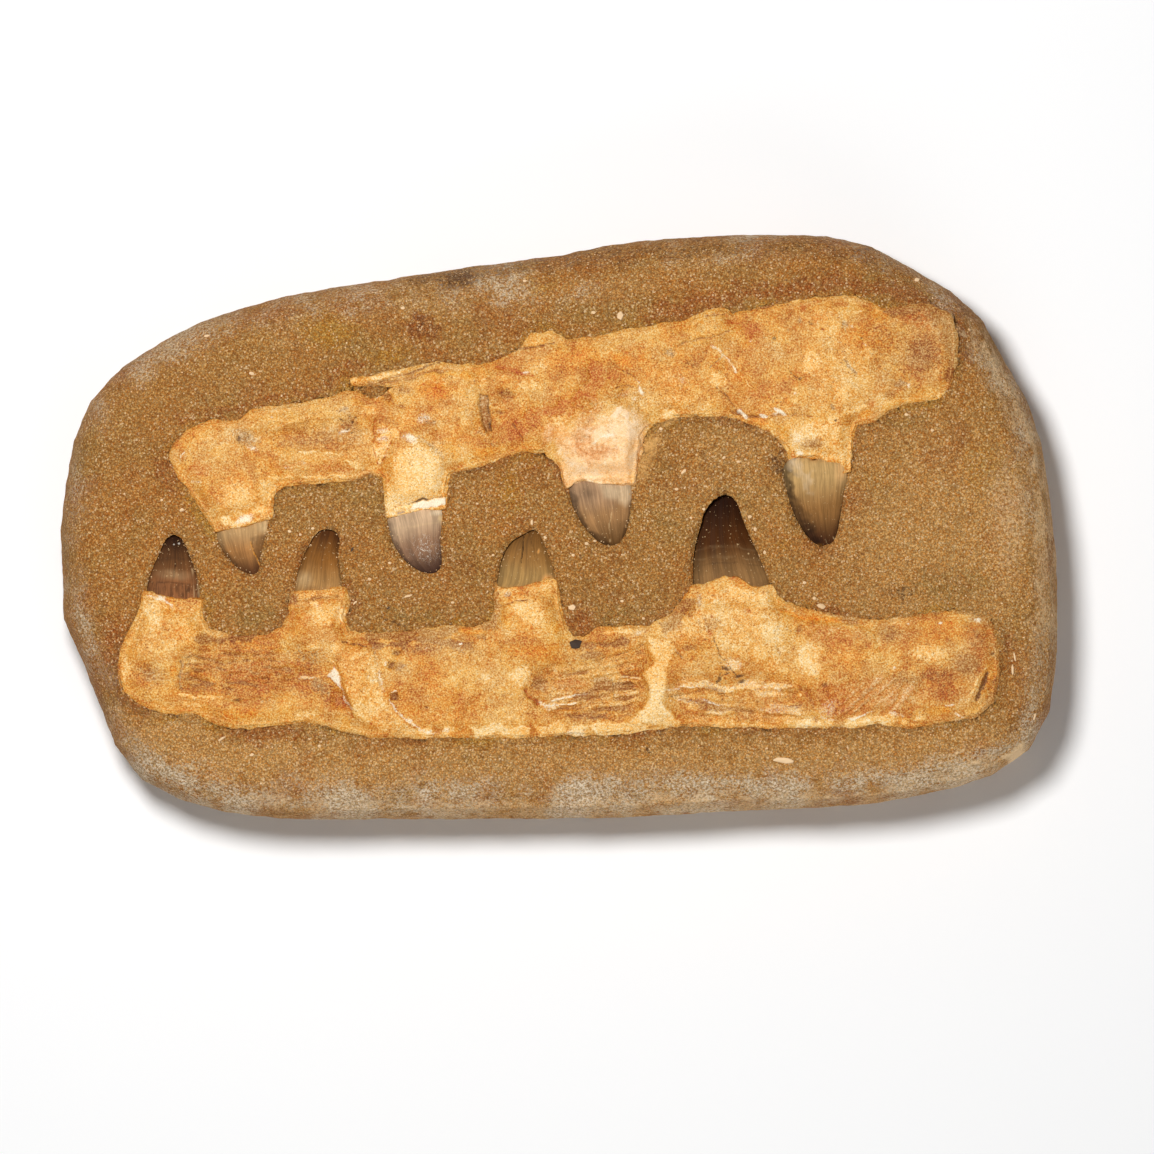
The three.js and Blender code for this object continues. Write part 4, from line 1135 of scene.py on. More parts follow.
lowerMarks = [
    line(5, (84, -68.6), (97, -68.4), (110, -67.8), (122, -66.8), (128, -66), cream=1, bare=1),
    line(5, (-46, -71), (-33.8, -71.4), (-20, -71), (-8.7, -70.4), (0, -70), cream=1, bare=1),
    line(4, (30, -70), (43, -69.6), (56, -69.4), cream=0.7, bare=1),
    oval(47.4, -61.5, 6, 4, cream=1),
    oval(96, -61.5, 7, 4, cream=0.9),
    oval(-22.8, -32, 4, 7, ochre=1, brown=0.85),
    line(6, (-46, -38.4), (-38, -40.6), (-31, -42), ochre=0.6, brown=0.8),
    oval(40, -32, 5, 7, ochre=0.8, brown=0.7),
    oval(101.4, -32.4, 8, 3, brown=0.9),
    oval(-92.6, -24.6, 3, 4, ochre=0.6, brown=0.9),
    oval(63, -23.4, 9, 5, cream=1),
    oval(70, -44, 7, 7, soft=1, cream=1),
    oval(142, -48, 10, 8, brown=0.85, rust=0.5),
    oval(121, -53.6, 12, 5, brown=0.7),
    line(4, (116, -30.4), (128, -29.6), (140, -29.4), (147, -31), sand=1),
    line(7, (-66, -70), (-50, -71.6), (-33, -72.4), (0, -71.4), (36, -69.4), (65, -68.8), (96, -67.6),
         (120, -67.4), bare=1, cream=0.6),
    line(4.4, (-126, -38.6), (-117, -39.6), (-107, -38.6), brown=0.9),
    line(4, (-66, -40), (-60, -41), (-50, -39.4), (-42, -39.6), (-34, -42.4), brown=0.9),
    oval(11, -44.4, 8, 3, turn=8, brown=0.9),
    oval(132, -52, 16, 5, rust=0.7, brown=0.6),
    oval(89.4, -49.6, 5, 5, cream=1, white=0.12),
    oval(23, -56, 6, 5, cream=0.8),
    # rounded left end with the first root
    area(6, (-146, -24), (-124, -26), (-124, -40), (-134, -45), (-149, -46), (-152, -40), cream=0.5,
         rise=0.15),
    oval(-141, -31, 7, 8, turn=12, cream=0.9, grey=0.2),
    oval(-131, -37, 7, 6, turn=-30, ochre=0.6),
    line(1.2, (-143, -24.6), (-139, -25.6), (-135, -27.6), (-134.6, -28.6), white=0.7, rise=0.3),
    oval(-150.6, -50, 3.4, 9, turn=-4, cream=0.75, rise=0.2),
    oval(-142.4, -51, 9, 5.6, brown=0.55, grey=0.35, rise=-0.75),
    line(1.2, (-146.5, -52.5), (-143, -55), (-139.6, -53), (-140.6, -49.6), ochre=0.5, rise=0.25),
    oval(-139, -46.6, 4, 2.4, rust=0.5),
    oval(-134, -50, 2, 6, ochre=0.6),
    line(1.4, (-131.4, -47.6), (-131.8, -52), (-131.4, -57), grey=0.7, dark=0.3, rise=-0.6),
    line(0.8, (-131.6, -46), (-126, -45.6), (-122, -46), dark=0.5, rise=-0.45),
    line(0.8, (-130, -48.4), (-125, -48), (-120, -48.6), brown=0.8, rise=-0.35),
    line(0.8, (-128, -47), (-124, -47), (-119, -45.4), cream=0.6, rise=0.2),
    oval(-124, -42.4, 3, 2, rust=0.7, rise=-0.2),
    # streaked trough
    area(6, (-131, -44), (-123, -39.8), (-108, -39.4), (-96, -39.6), (-88, -43), (-80, -49), (-76, -56),
         (-73, -63), (-86, -61), (-100, -59.6), (-113, -59.6), (-131, -57.6), rise=-0.9, brown=0.34),
    area(5, (-131, -44), (-110, -40.5), (-96, -41), (-86, -49), (-82, -60), (-100, -59), (-131, -57),
         stripes=(-3, 1.5), length=5, rise=0.3, rust=0.6),
    area(4, (-131, -46), (-110, -43), (-98, -44), (-92, -52), (-98, -58), (-131, -57), stripes=(-6, 0.8),
         length=5, rise=-0.3, brown=1),
    oval(-107, -51, 17, 8, soft=1, rust=0.85),
    oval(-120, -53.6, 7, 4, ochre=0.6, brown=0.2),
    oval(-87, -45.4, 10, 6.4, turn=-12, soft=1, grey=0.5, cream=0.3),
    oval(-83.6, -55.6, 7, 4.4, turn=-20, soft=1, grey=0.75),
    line(4, (-110, -41), (-103, -42), (-96, -42.6), ochre=0.5),
    line(1.3, (-90, -52.8), (-85, -52.6), (-81, -51.8), (-77.6, -49.4), cream=0.9, white=0.3, rise=0.4),
    area(1, (-81, -51.6), (-78.6, -48.8), (-77.2, -50), (-75, -56.6), (-77.4, -54.4), white=0.85, rise=0.4),
    area(2.4, (-80, -57), (-75.6, -57), (-71.8, -64), (-79, -63.4), rust=0.9, brown=0.4, rise=-1.0),
    line(1, (-75, -56), (-74.6, -60.4), (-71.8, -63.4), white=0.5, rise=0.2),
    line(1.8, (-132, -58.6), (-126, -59.6), (-120, -59.4), (-114.6, -58.2), cream=0.9, rise=0.5),
    line(0.7, (-126, -56.6), (-119, -57.4), (-113.6, -60.6), (-108, -60.2), (-100, -59.8), dark=0.4,
         rise=-0.4),
    oval(-112, -60.4, 2, 1.2, dark=0.6, rise=-0.4),
    oval(-102, -61, 6, 1.5, grey=0.5),
    # lower rim of the left half
    oval(-111, -65.4, 12, 4, ochre=0.8, rust=0.25, rise=0.2),
    oval(-109.6, -64.6, 3, 2, rust=0.7),
    oval(-128, -62.4, 9, 2.6, turn=-5, cream=0.75),
    line(0.8, (-119, -64.4), (-116, -66.4), (-112.6, -67.8), cream=0.9, rise=0.25),
    oval(-89, -65.6, 9, 3, cream=0.75),
    oval(-96, -64, 9, 4, ochre=0.4),
    oval(-82.6, -66, 1.6, 1.2, rust=0.8, rise=-0.2),
    # second root
    line(5, (-93, -24), (-84, -23.4), (-74, -23), cream=0.6, ochre=0.3),
    line(5, (-22, -22), (-12, -23), (-1, -20), cream=0.6, ochre=0.3),
    oval(-90, -32, 5, 9, ochre=0.5, rise=0.2),
    oval(-82, -30.4, 10, 7, cream=0.9),
    oval(-84.4, -27, 4, 3, cream=1, white=0.2),
    oval(-76.4, -31, 3, 6, cream=1, white=0.2),
    oval(-86, -41.6, 5, 2.2, turn=10, cream=0.9, rise=0.2),
    oval(-78, -43, 5, 4, cream=0.7),
    line(1, (-80, -45), (-78, -48), cream=1),
    # strut between the trough and the mottled plate
    area(2.4, (-77.4, -47.6), (-71, -42.6), (-65, -42.6), (-62.6, -50), (-59.6, -60), (-52, -69),
         (-58, -72.5), (-68, -69), (-71.6, -64), cream=0.6, rise=0.45),
    step(2.4, (-71.4, -66), (-73.6, -59), (-75.6, -53), (-77.6, -47.6), rise=-0.6),
    line(0.9, (-76, -40.6), (-71, -41), (-66.6, -41.6), brown=0.9, dark=0.35, rise=-0.6),
    line(1.6, (-65.4, -40.8), (-64, -46), (-62.8, -52), (-61.2, -58), grey=0.45, rise=-0.4),
    line(1.2, (-62.6, -50.4), (-61.6, -55), (-60.4, -58), white=0.55, rise=0.3),
    oval(-56.4, -43.6, 2.8, 1.8, turn=12, brown=1, dark=0.35, rise=-1.1),
    oval(-58.4, -47.8, 2.8, 2.6, turn=-35, brown=1, dark=0.4, rise=-1.2),
    oval(-54.6, -48.8, 1.6, 1.2, grey=0.6),
    area(0.9, (-58.8, -58.2), (-55.8, -58), (-55.7, -60.6), (-58.6, -60.4), brown=1, dark=0.3, rise=-1.1),
    line(0.6, (-58, -57.6), (-55.8, -57.5), white=1, rise=0.2),
    oval(-60.8, -47.4, 0.9, 1.4, white=0.9, rise=0.2),
    line(0.8, (-60, -45.2), (-57.6, -43.8), cream=1, rise=0.3),
    line(1.1, (-59, -60.4), (-56.6, -63.4), (-52.6, -67.4), white=0.55, rise=0.3),
    line(1.5, (-52.6, -67.4), (-48, -71.2), (-43, -71.6), (-38.6, -70.6), white=0.6, cream=1, rise=0.3),
    line(1, (-54, -68.6), (-50, -71.6), (-46, -72.6), cream=1, rise=0.2),
    line(0.8, (-47, -69.8), (-42, -70.4), (-36, -70), (-30, -68.6), cream=0.8),
    line(0.5, (-57.4, -62.6), (-53.6, -66.4), (-50, -70), grey=0.8, rise=-0.4),
    # mottled plate
    line(4, (-66, -38.4), (-60, -38.6), (-50, -37.6), (-42, -36.8), (-35, -36.4), sand=1, brown=0.4),
    line(3.4, (-40, -41.6), (-34, -42), (-26, -39), ochre=0.6, brown=0.7),
    oval(-55.6, -48.6, 4, 3.4, brown=0.8, rust=0.3),
    line(2.4, (-64, -37.8), (-54, -38.6), (-44, -37.6), (-34, -36.6), (-26, -37), ochre=0.8, rise=-0.4),
    line(0.8, (-64, -39.8), (-56, -40.4), (-48, -39.6), (-42, -38.4), (-38, -37.6), (-34, -39.4),
         (-31, -40.2), brown=0.7, rise=-0.4),
    line(0.8, (-49, -39.2), (-42, -38), (-38.6, -37.2), (-35, -38.4), cream=0.9, rise=0.3),
    oval(-46, -42.6, 17, 3.6, turn=4, brown=0.6, rust=0.35, rise=-0.3),
    oval(-34.5, -43, 5, 3, turn=-20, brown=0.6, grey=0.25),
    line(1.6, (-32, -45.6), (-30, -41.6), (-28, -39.6), ochre=0.7, rise=0.25),
    oval(-34, -41.4, 0.8, 0.6, white=1, rise=0.2),
    oval(-33, -43.6, 0.7, 0.5, white=0.9),
    oval(-46.4, -43.2, 0.7, 0.5, white=0.9),
    oval(-39, -55, 14, 11, ochre=0.35),
    oval(-47, -52, 7, 6, rust=0.3),
    oval(-33, -60, 9, 5, turn=20, rust=0.4),
    oval(-41, -66, 11, 4, cream=0.5),
    oval(-25, -52.6, 7, 4, cream=0.6, grey=0.2),
    oval(-26, -64, 6, 4, cream=0.4),
    oval(-25.2, -63.4, 0.9, 2.6, rust=0.9, rise=-0.3),
    oval(-46.2, -62.8, 1.1, 0.8, brown=1, dark=0.3, rise=-0.4),
    oval(-66, -69, 1.4, 0.9, rust=0.9),
    area(4, (-62, -46), (-30, -44), (-24, -56), (-30, -68), (-50, -68), (-58, -60), stripes=(70, 2.6),
         rise=0.2, cream=0.4),
    # third root and its buttress
    oval(-12, -28, 10, 7, turn=-10, cream=1, rise=0.25),
    oval(-1.6, -34, 4, 6, ochre=0.6),
    oval(-10, -31, 9, 8, cream=0.9),
    line(5, (-22.4, -23), (-23, -30), (-25, -35), sand=1, brown=0.3),
    oval(-18.4, -33, 3, 5, ochre=0.9),
    line(0.8, (-21.4, -28), (-17.4, -26.8), (-14, -25.8), (-10.6, -25.6), brown=0.8, rise=-0.5),
    oval(-18, -23.6, 2.6, 1.8, grey=0.6, white=0.3),
    line(1.2, (-15, -21.8), (-9, -21.2), (-3, -19.6), ochre=0.5, cream=0.6),
    oval(-10, -36, 13, 6, ochre=0.5, cream=0.5),
    oval(-9, -43, 16, 4, turn=2, ochre=0.6, rust=0.3),
    oval(-13, -52, 9, 9, cream=0.75, rise=0.15),
    oval(-17, -66, 10, 5, cream=0.5),
    oval(-19, -58.8, 1.6, 1.6, brown=0.6),
    # first open panel
    area(3, (-9, -50.6), (-2, -48.4), (4, -47.6), (12, -46.6), (22, -43.4), (30, -41.4), (32, -47),
         (28.4, -52), (31, -57), (31, -61), (27, -64), (22, -67.4), (10, -69), (3, -69.4), (-1, -67),
     (-4, -63.6), (-8, -61.6), (-11.6, -58), (-12, -54), rise=-1.0, brown=0.34),
    area(3, (-9, -52), (4, -49), (14, -48), (30, -43), (27, -52), (29, -60), (20, -66), (4, -68), (-8, -60),
         stripes=(9, 0.95), rise=0.3, cream=0.6, ochre=0.5),
    area(4, (-9, -52), (4, -49), (14, -48), (30, -43), (27, -52), (29, -60), (20, -66), (4, -68), (-8, -60),
         stripes=(6, 1.5), length=5, rise=-0.3, brown=1),
    line(0.9, (-6.4, -61.4), (0, -60.2), (5, -58.8), (10, -57.8), white=0.7, cream=1, rise=0.5),
    line(0.9, (-6, -62), (-1, -62.4), (3, -61.8), (6.4, -61), white=0.7, cream=1, rise=0.5),
    line(0.8, (-4, -63.6), (1, -63.2), (6, -62.8), (10, -62.4), cream=1, rise=0.4),
    oval(-3, -62.6, 4, 1.8, turn=6, white=0.5),
    line(0.5, (-4, -61), (1, -61.2), (5, -60.2), dark=0.5, rise=-0.5),
    line(0.7, (4.6, -49.6), (9, -48.8), (13, -48), cream=0.8, rise=0.3),
    line(0.6, (12, -46.6), (18, -45), (24, -43.4), (29.6, -41.6), dark=0.45, rise=-0.5),
    line(0.6, (12, -45.8), (18, -44.2), (24, -42.6), cream=0.5, rise=0.3),
    line(0.6, (14, -47.8), (21, -46), (28, -44), dark=0.35, rise=-0.4),
    line(0.9, (-9.6, -54), (-6, -53), (-2.6, -52.4), cream=0.9, rise=0.4),
    oval(-7, -55.6, 5, 2.4, brown=0.7, grey=0.4, rise=-0.3),
    oval(4, -55, 11, 5, ochre=0.5, rust=0.8),
    oval(-1.6, -50.6, 1.8, 2.4, cream=0.7),
    # a rusty groove, its darkness painted shade in the recess
    line(1.8, (-11.4, -57.4), (-9.6, -60), (-7, -62), rust=0.9, dark=0.4, rise=-0.7),
    area(0.8, (19.4, -53.4), (26.6, -54), (26.6, -59), (20, -59.2), brown=0.25, rise=-0.2),
    line(0.7, (20, -54.8), (26.4, -55.2), cream=0.9, rise=0.4),
    line(0.7, (20, -56.2), (26, -56.6), cream=0.8, rise=0.4),
    line(0.7, (20, -57.5), (26.2, -57.8), cream=0.9, rise=0.4),
    line(0.8, (20, -58.8), (26, -58.8), white=0.8, rise=0.4),
    line(0.5, (20, -55.5), (26.2, -55.9), dark=0.5, rise=-0.4),
    line(0.5, (20, -56.9), (26, -57.2), dark=0.5, rise=-0.4),
    line(0.7, (18, -52.6), (19.4, -56), (19.8, -59.8), dark=0.55, rise=-0.5),
    line(0.8, (22, -53), (27.6, -53.4), cream=0.9, white=0.3, rise=0.5),
    line(0.6, (22, -52.2), (27.4, -52.6), dark=0.6, rise=-0.4),
    oval(15, -60, 9, 5, ochre=0.4),
    oval(13, -67, 8, 1.4, turn=-2, dark=0.35, brown=0.7),
    # cream bar over the panel
    line(3, (15, -36.8), (23, -36.8), (30, -37.4), cream=0.8, rise=0.35),
    oval(28, -37.6, 3.4, 1.6, grey=0.5, white=0.4),
    line(3.4, (8, -41.4), (16, -41), (24, -40), brown=0.75, rise=-0.6),
    oval(7, -41, 5, 4, brown=0.7),
    # web between the panels
    area(2.4, (30.6, -38.6), (38, -38.6), (41, -43), (37.6, -50), (36.8, -58), (36.4, -61.4), (39.6, -65),
         (41, -69), (26, -69.4), (24, -67.6), (30, -63.4), (32, -58), (29.4, -52.4), (32.8, -47), cream=0.9,
     rise=0.55),
    line(0.7, (38, -40.6), (41, -43.6), (43, -46), grey=0.8, rise=-0.4),
    line(5.6, (-20, -71.6), (0, -71), (20, -69.8), (36, -68.8), cream=1, rise=0.35),
    oval(6, -71.6, 6, 1.4, white=0.4),
    # fourth root
    line(5, (36, -35), (41, -31), (46, -26), sand=1, ochre=0.6),
    area(11, (32, -36.4), (44, -27), (52, -20.6), (60, -18), (66, -21), (75, -21), (78, -28), (82, -39),
         (80, -47), (88, -52.6), (84, -54.4), (72, -50), (58, -45), (46, -41), (36, -41), cream=0.62,
     rise=0.2),
    oval(73, -37, 13, 11, soft=1, cream=1),
    oval(69, -26, 9, 7, soft=1, cream=1),
    oval(53, -23.4, 3.4, 5, turn=-20, ochre=0.95),
    oval(48.6, -25.6, 1.9, 4.4, grey=0.55, white=0.25),
    oval(61, -18.4, 3.6, 1.4, rust=0.65),
    oval(65.4, -29, 2.6, 2.4, rust=0.6, rise=-0.25),
    oval(42, -31.6, 10, 2.6, turn=38, ochre=0.8),
    oval(52.6, -37.4, 1.8, 3, turn=-12, rust=1, rise=-0.35),
    oval(53.8, -31.4, 0.9, 1.2, rust=1, dark=0.3),
    oval(51, -40, 1.4, 0.6, dark=0.7),
    oval(53, -34, 9, 6, ochre=0.95, brown=0.55),
    oval(48, -46, 8, 5, ochre=0.5, brown=0.35),
    oval(45, -42.6, 5, 2.6, brown=0.65, rise=-0.2),
    line(0.5, (54, -38.6), (55.6, -42), (57, -46), (56.8, -50.4), (55, -54.6), dark=0.8, rise=-0.6),
    line(0.6, (57, -45.8), (59, -46.4), (60.4, -49.4), (62, -51.2), dark=0.8, rise=-0.5),
    line(0.6, (55.2, -53.6), (57.4, -51.4), (59.6, -50), dark=0.7, rise=-0.4),
    oval(61, -47.4, 5, 3.6, white=0.4, cream=1, rise=0.2),
    oval(58.3, -49, 2, 1.3, dark=1, rise=-0.5),
    oval(62.8, -51.8, 2.7, 1.3, turn=-5, dark=1, rise=-0.5),
    oval(63.6, -54, 2.3, 1.2, dark=0.9, rise=-0.4),
    line(0.8, (76, -42), (78.4, -45.6), (81, -50), brown=0.7, rise=-0.5),
    line(0.7, (76.6, -30.4), (77.4, -33), rust=0.8, rise=-0.3),
    # second open panel, fibrous
    area(3, (37.4, -57), (41, -51), (48, -50.6), (56, -53.4), (68, -51.6), (80, -52.6), (85, -56.4),
         (86.4, -63), (84.6, -68.4), (62, -68), (45, -67.4), (40.6, -64.4), (37, -60.4), rise=-0.8,
     brown=0.24),
    area(2.5, (38, -56), (50, -52.6), (60, -55), (72, -52), (84, -56), (85, -66), (60, -67), (42, -64),
         stripes=(-5, 1.25), length=8, rise=0.4, cream=1.0, white=0.2),
    area(2.5, (38, -56), (50, -52.6), (60, -55), (72, -52), (84, -56), (85, -66), (60, -67), (42, -64),
         stripes=(-3, 1.4), length=8, rise=-0.4, brown=0.7, dark=0.14),
    oval(72, -57.6, 9, 3, turn=-6, cream=1, white=0.2),
    oval(43, -59.6, 6, 2.6, cream=1),
    line(0.8, (38, -59.2), (44, -58.6), (52, -57.4), (58, -57.6), dark=0.5, rise=-0.6),
    line(0.8, (39, -61), (46, -60.2), (54, -61.4), (60, -62), white=0.6, rise=0.4),
    line(0.7, (38, -56.6), (44, -55.6), (50, -56), white=0.6, rise=0.3),
    line(2, (70, -54.4), (76, -56), (78, -58.4), cream=1, white=0.4, rise=0.3),
    oval(66, -55, 8, 2.6, turn=-6, cream=1, white=0.3),
    oval(84, -58.4, 1.6, 1.4, cream=1),
    oval(43.6, -54, 2, 1.4, cream=0.8),
    line(0.5, (62.2, -60), (62.4, -66.4), dark=0.45, rise=-0.4),
    line(0.5, (57.8, -52), (57.4, -57), (57, -60), dark=0.5, rise=-0.4),
    oval(76, -64, 11, 4, rust=0.5),
    oval(45, -65, 5, 2.6, rust=0.35),
    oval(64, -66.4, 8, 1.8, brown=0.4),
    line(1.6, (40, -69), (60, -68.8), (80, -69.2), cream=0.7, rise=0.3),
    # rounded column left of the right plate
    oval(87, -46, 9, 11, soft=1, cream=1, rise=0.2),
    line(2.4, (84, -55.4), (87.4, -59), (88.6, -63), (89.4, -67.6), brown=0.45, rust=0.4, rise=-0.5),
    line(2.4, (78, -29.4), (86, -31.8), (98, -32.8), (104, -33), ochre=0.8, rise=-0.5),
    # right plate with its diagonal scratches
    oval(83.6, -36.6, 1.6, 3, rust=0.9, dark=0.45, rise=-0.6),
    step(5, (84.4, -41), (84.2, -34.4), (90, -34), (104, -34), (109.6, -37.4), (111, -42), rise=-0.5),
    line(0.9, (84.2, -34.6), (90, -34.2), (98, -34.4), (104, -34.2), (109, -37), cream=0.7, rise=0.3),
    area(2, (84.6, -35), (100, -35), (106, -37), (96, -41), (85, -40.6), stripes=(48, 0.9), rise=0.2,
         cream=0.6),
    area(3, (84.6, -35), (104, -35), (108, -39), (96, -42), (86, -41), rust=0.45),
    oval(115, -37, 7, 5, brown=0.75, rise=-0.35),
    oval(99, -45, 11, 5, cream=0.5),
    oval(107, -45, 8, 5, cream=0.35),
    area(3, (91, -54.6), (112, -52), (130, -56), (122, -66), (108, -65.6), (94, -67), (89.6, -61), rust=0.6,
         brown=0.25, rise=-0.2),
    area(3, (90, -56), (112, -52.6), (128, -57), (118, -65.4), (106, -65.6), (94, -67), (90, -62),
         stripes=(42, 1), rise=0.35, cream=1, white=0.1),
    area(3, (90, -56), (112, -52.6), (128, -57), (118, -65.4), (106, -65.6), (94, -67), (90, -62),
         stripes=(42, 1.1), rise=-0.2, rust=0.7),
    area(2, (90, -64), (93, -61), (97, -60), (96, -66.6), (92, -67.4), white=0.2),
    line(0.9, (89.8, -64.4), (91.6, -67), (96, -67.6), (102, -67), (108, -65.4), (113, -64.6), white=0.8,
         rise=0.35),
    line(1.6, (115.6, -65.6), (120, -66), white=0.5, rise=0.3),
    oval(92.8, -55.2, 2, 0.9, brown=1, dark=0.3, rise=-0.3),
    oval(128, -44, 13, 6, cream=0.8),
    oval(124, -43, 5, 3, cream=0.5),
    oval(146, -40, 9, 12, rust=0.8, brown=0.55),
    oval(134, -34, 14, 3, ochre=0.5),
    oval(134, -58, 13, 7, rust=0.75, brown=0.35),
    oval(118, -50, 8, 4, rust=0.3),
    line(0.9, (128.4, -49.6), (127, -52.6), brown=0.9, rise=-0.3),
    oval(134, -55, 0.8, 0.8, dark=0.8),
    oval(133, -48.6, 0.9, 0.8, dark=0.6),
    line(2.4, (85, -69), (92, -69.6), (100, -69.8), (106, -68.8), (112, -67.2), (118, -67.8), (124, -69.4),
         ochre=0.7, cream=0.7, rise=0.35),
    oval(132, -64, 9, 3, turn=8, ochre=0.7),
    oval(122.6, -65, 1.4, 1, brown=0.8, rise=-0.3),
    oval(132.4, -33.4, 1, 0.8, white=1, rise=0.25),
    oval(145.6, -32.2, 2, 1.2, white=0.7, rise=0.2),
    oval(121.4, -33.6, 0.9, 0.7, white=0.8),
    oval(116.4, -49, 1.1, 0.7, white=0.8),
    line(0.8, (135, -62.2), (137.4, -61.8), white=0.9),
    line(0.8, (137.6, -65), (140.4, -66), white=0.9),
    line(1.7, (149.6, -49.4), (146.8, -52.6), (144.4, -57.4), (142.8, -60.4), cream=0.9, rise=0.5),
    line(1.9, (150.4, -51.6), (147.8, -56.4), (145.6, -60.4), dark=0.6, brown=1, rise=-1.1),
    oval(151.2, -44, 1.4, 1.2, dark=0.7, rise=-0.3),
    oval(149.6, -57, 4, 7, turn=-15, ochre=0.55, brown=0.4),
    oval(151, -40, 4, 8, brown=0.4),
    line(5, (148, -30), (154, -38), (154, -52), (149, -64), (138, -70), sand=0.8, rust=0.3),
]


# How far points are from a bone's outline as seen from above, up to a limit.
def rimDistance(points, normals, limit):
    wall = points[(np.abs(normals[:, 2]) < 0.5) & (np.abs(points[:, 2] - bone["wallHeight"]) < 1)]
    tree = KDTree(len(wall))
    for i, point in enumerate(wall):
        tree.insert((point[0], point[1], 0), i)
    tree.balance()
    away = np.full(len(points), float(limit))
    for i in np.nonzero(points[:, 2] > 42)[0]:
        away[i] = tree.find((points[i, 0], points[i, 1], 0))[2]
    return np.minimum(away, limit)


def makeBone(nodeName, pieceName, marks, seed):
    piece = copyOfNode(nodeName, pieceName)
    remesh(piece, bone["voxel"])
    points = readPoints(piece)
    hidden = ease((bone["seenFrom"] - points[:, 2]) / 0.5)
    thinOut(piece, hidden, 1 - 0.97 * (hidden > 0.5).mean())

    # the faceted relief is smoothed in height only, so that the outline stays crisp
    smoothing = piece.modifiers.new("smoothing", "SMOOTH")
    smoothing.use_x = smoothing.use_y = False
    smoothing.factor = 0.5
    smoothing.iterations = bone["smoothing"]
    group = piece.vertex_groups.new(name="shown")
    for i in np.nonzero(readPoints(piece)[:, 2] > bone["seenFrom"] + 1)[0]:
        group.add([int(i)], 1, "REPLACE")
    smoothing.vertex_group = group.name
    applyModifiers(piece)
    piece.vertex_groups.clear()

    points = readPoints(piece)
    normals = readNormals(piece)
    onFace = ease((normals[:, 2] - 0.25) / 0.5) * ease((points[:, 2] - bone["wallHeight"]) / 1.2)
    onWall = ease((0.75 - normals[:, 2]) / 0.4) * ease((points[:, 2] - 28) / 1.5)
    outward = normals * (1, 1, 0)
    outward *= (onWall * swell(points, bone["ragged"], seed, bone["closeGap"]))[:, None]
    rim = rimDistance(points, normals, 6)

    tones = blank(points, ("cream", "ochre", "rust", "brown", "grey", "peach", "white", "dark", "sand",
                           "bare"))
    rise = applyMarks(points + wander(points, bone["warp"], seed), marks, tones, seed)

    # dents, low swellings and pores
    rise += swell(points, bone["dents"], seed)
    rise += swell(points, bone["grit"], seed)
    pores = ease((lumps(points, 1.5, seed + 15) - 0.52) / 0.22)
    pores = np.clip(pores * (0.45 + 0.55 * lumps(points, 14, seed + 16)), 0, 1)
    rise -= 0.28 * pores
    tones["dark"] = np.maximum(tones["dark"], 0.3 * pores)
    sandy = swell(points, bone["sandy"], seed, 0.1)
    tones["sand"] = np.maximum(tones["sand"], ease((sandy - rim) / 1.6) * (1 - tones.pop("bare")))
    points += outward
    rise -= 0.45 * ease((points[:, 2] - 47.5) / 1.5)
    lift = bone["lift"] * (1 - ease(rim / 2.6)) * ease((points[:, 2] - 45) / 1.5)
    lift -= bone["lowRim"] * (1 - ease(rim / 6)) * np.maximum(points[:, 2] - 46.8, 0)
    points[:, 2] += rise * onFace * ease(rim / 1.2) + lift
    points[:, 2] = np.minimum(points[:, 2], cadBox[1][2] / mm - 0.05)
    writePoints(piece, points)
    writeTones(piece, tones)
    thinToLimit(piece)
    return piece


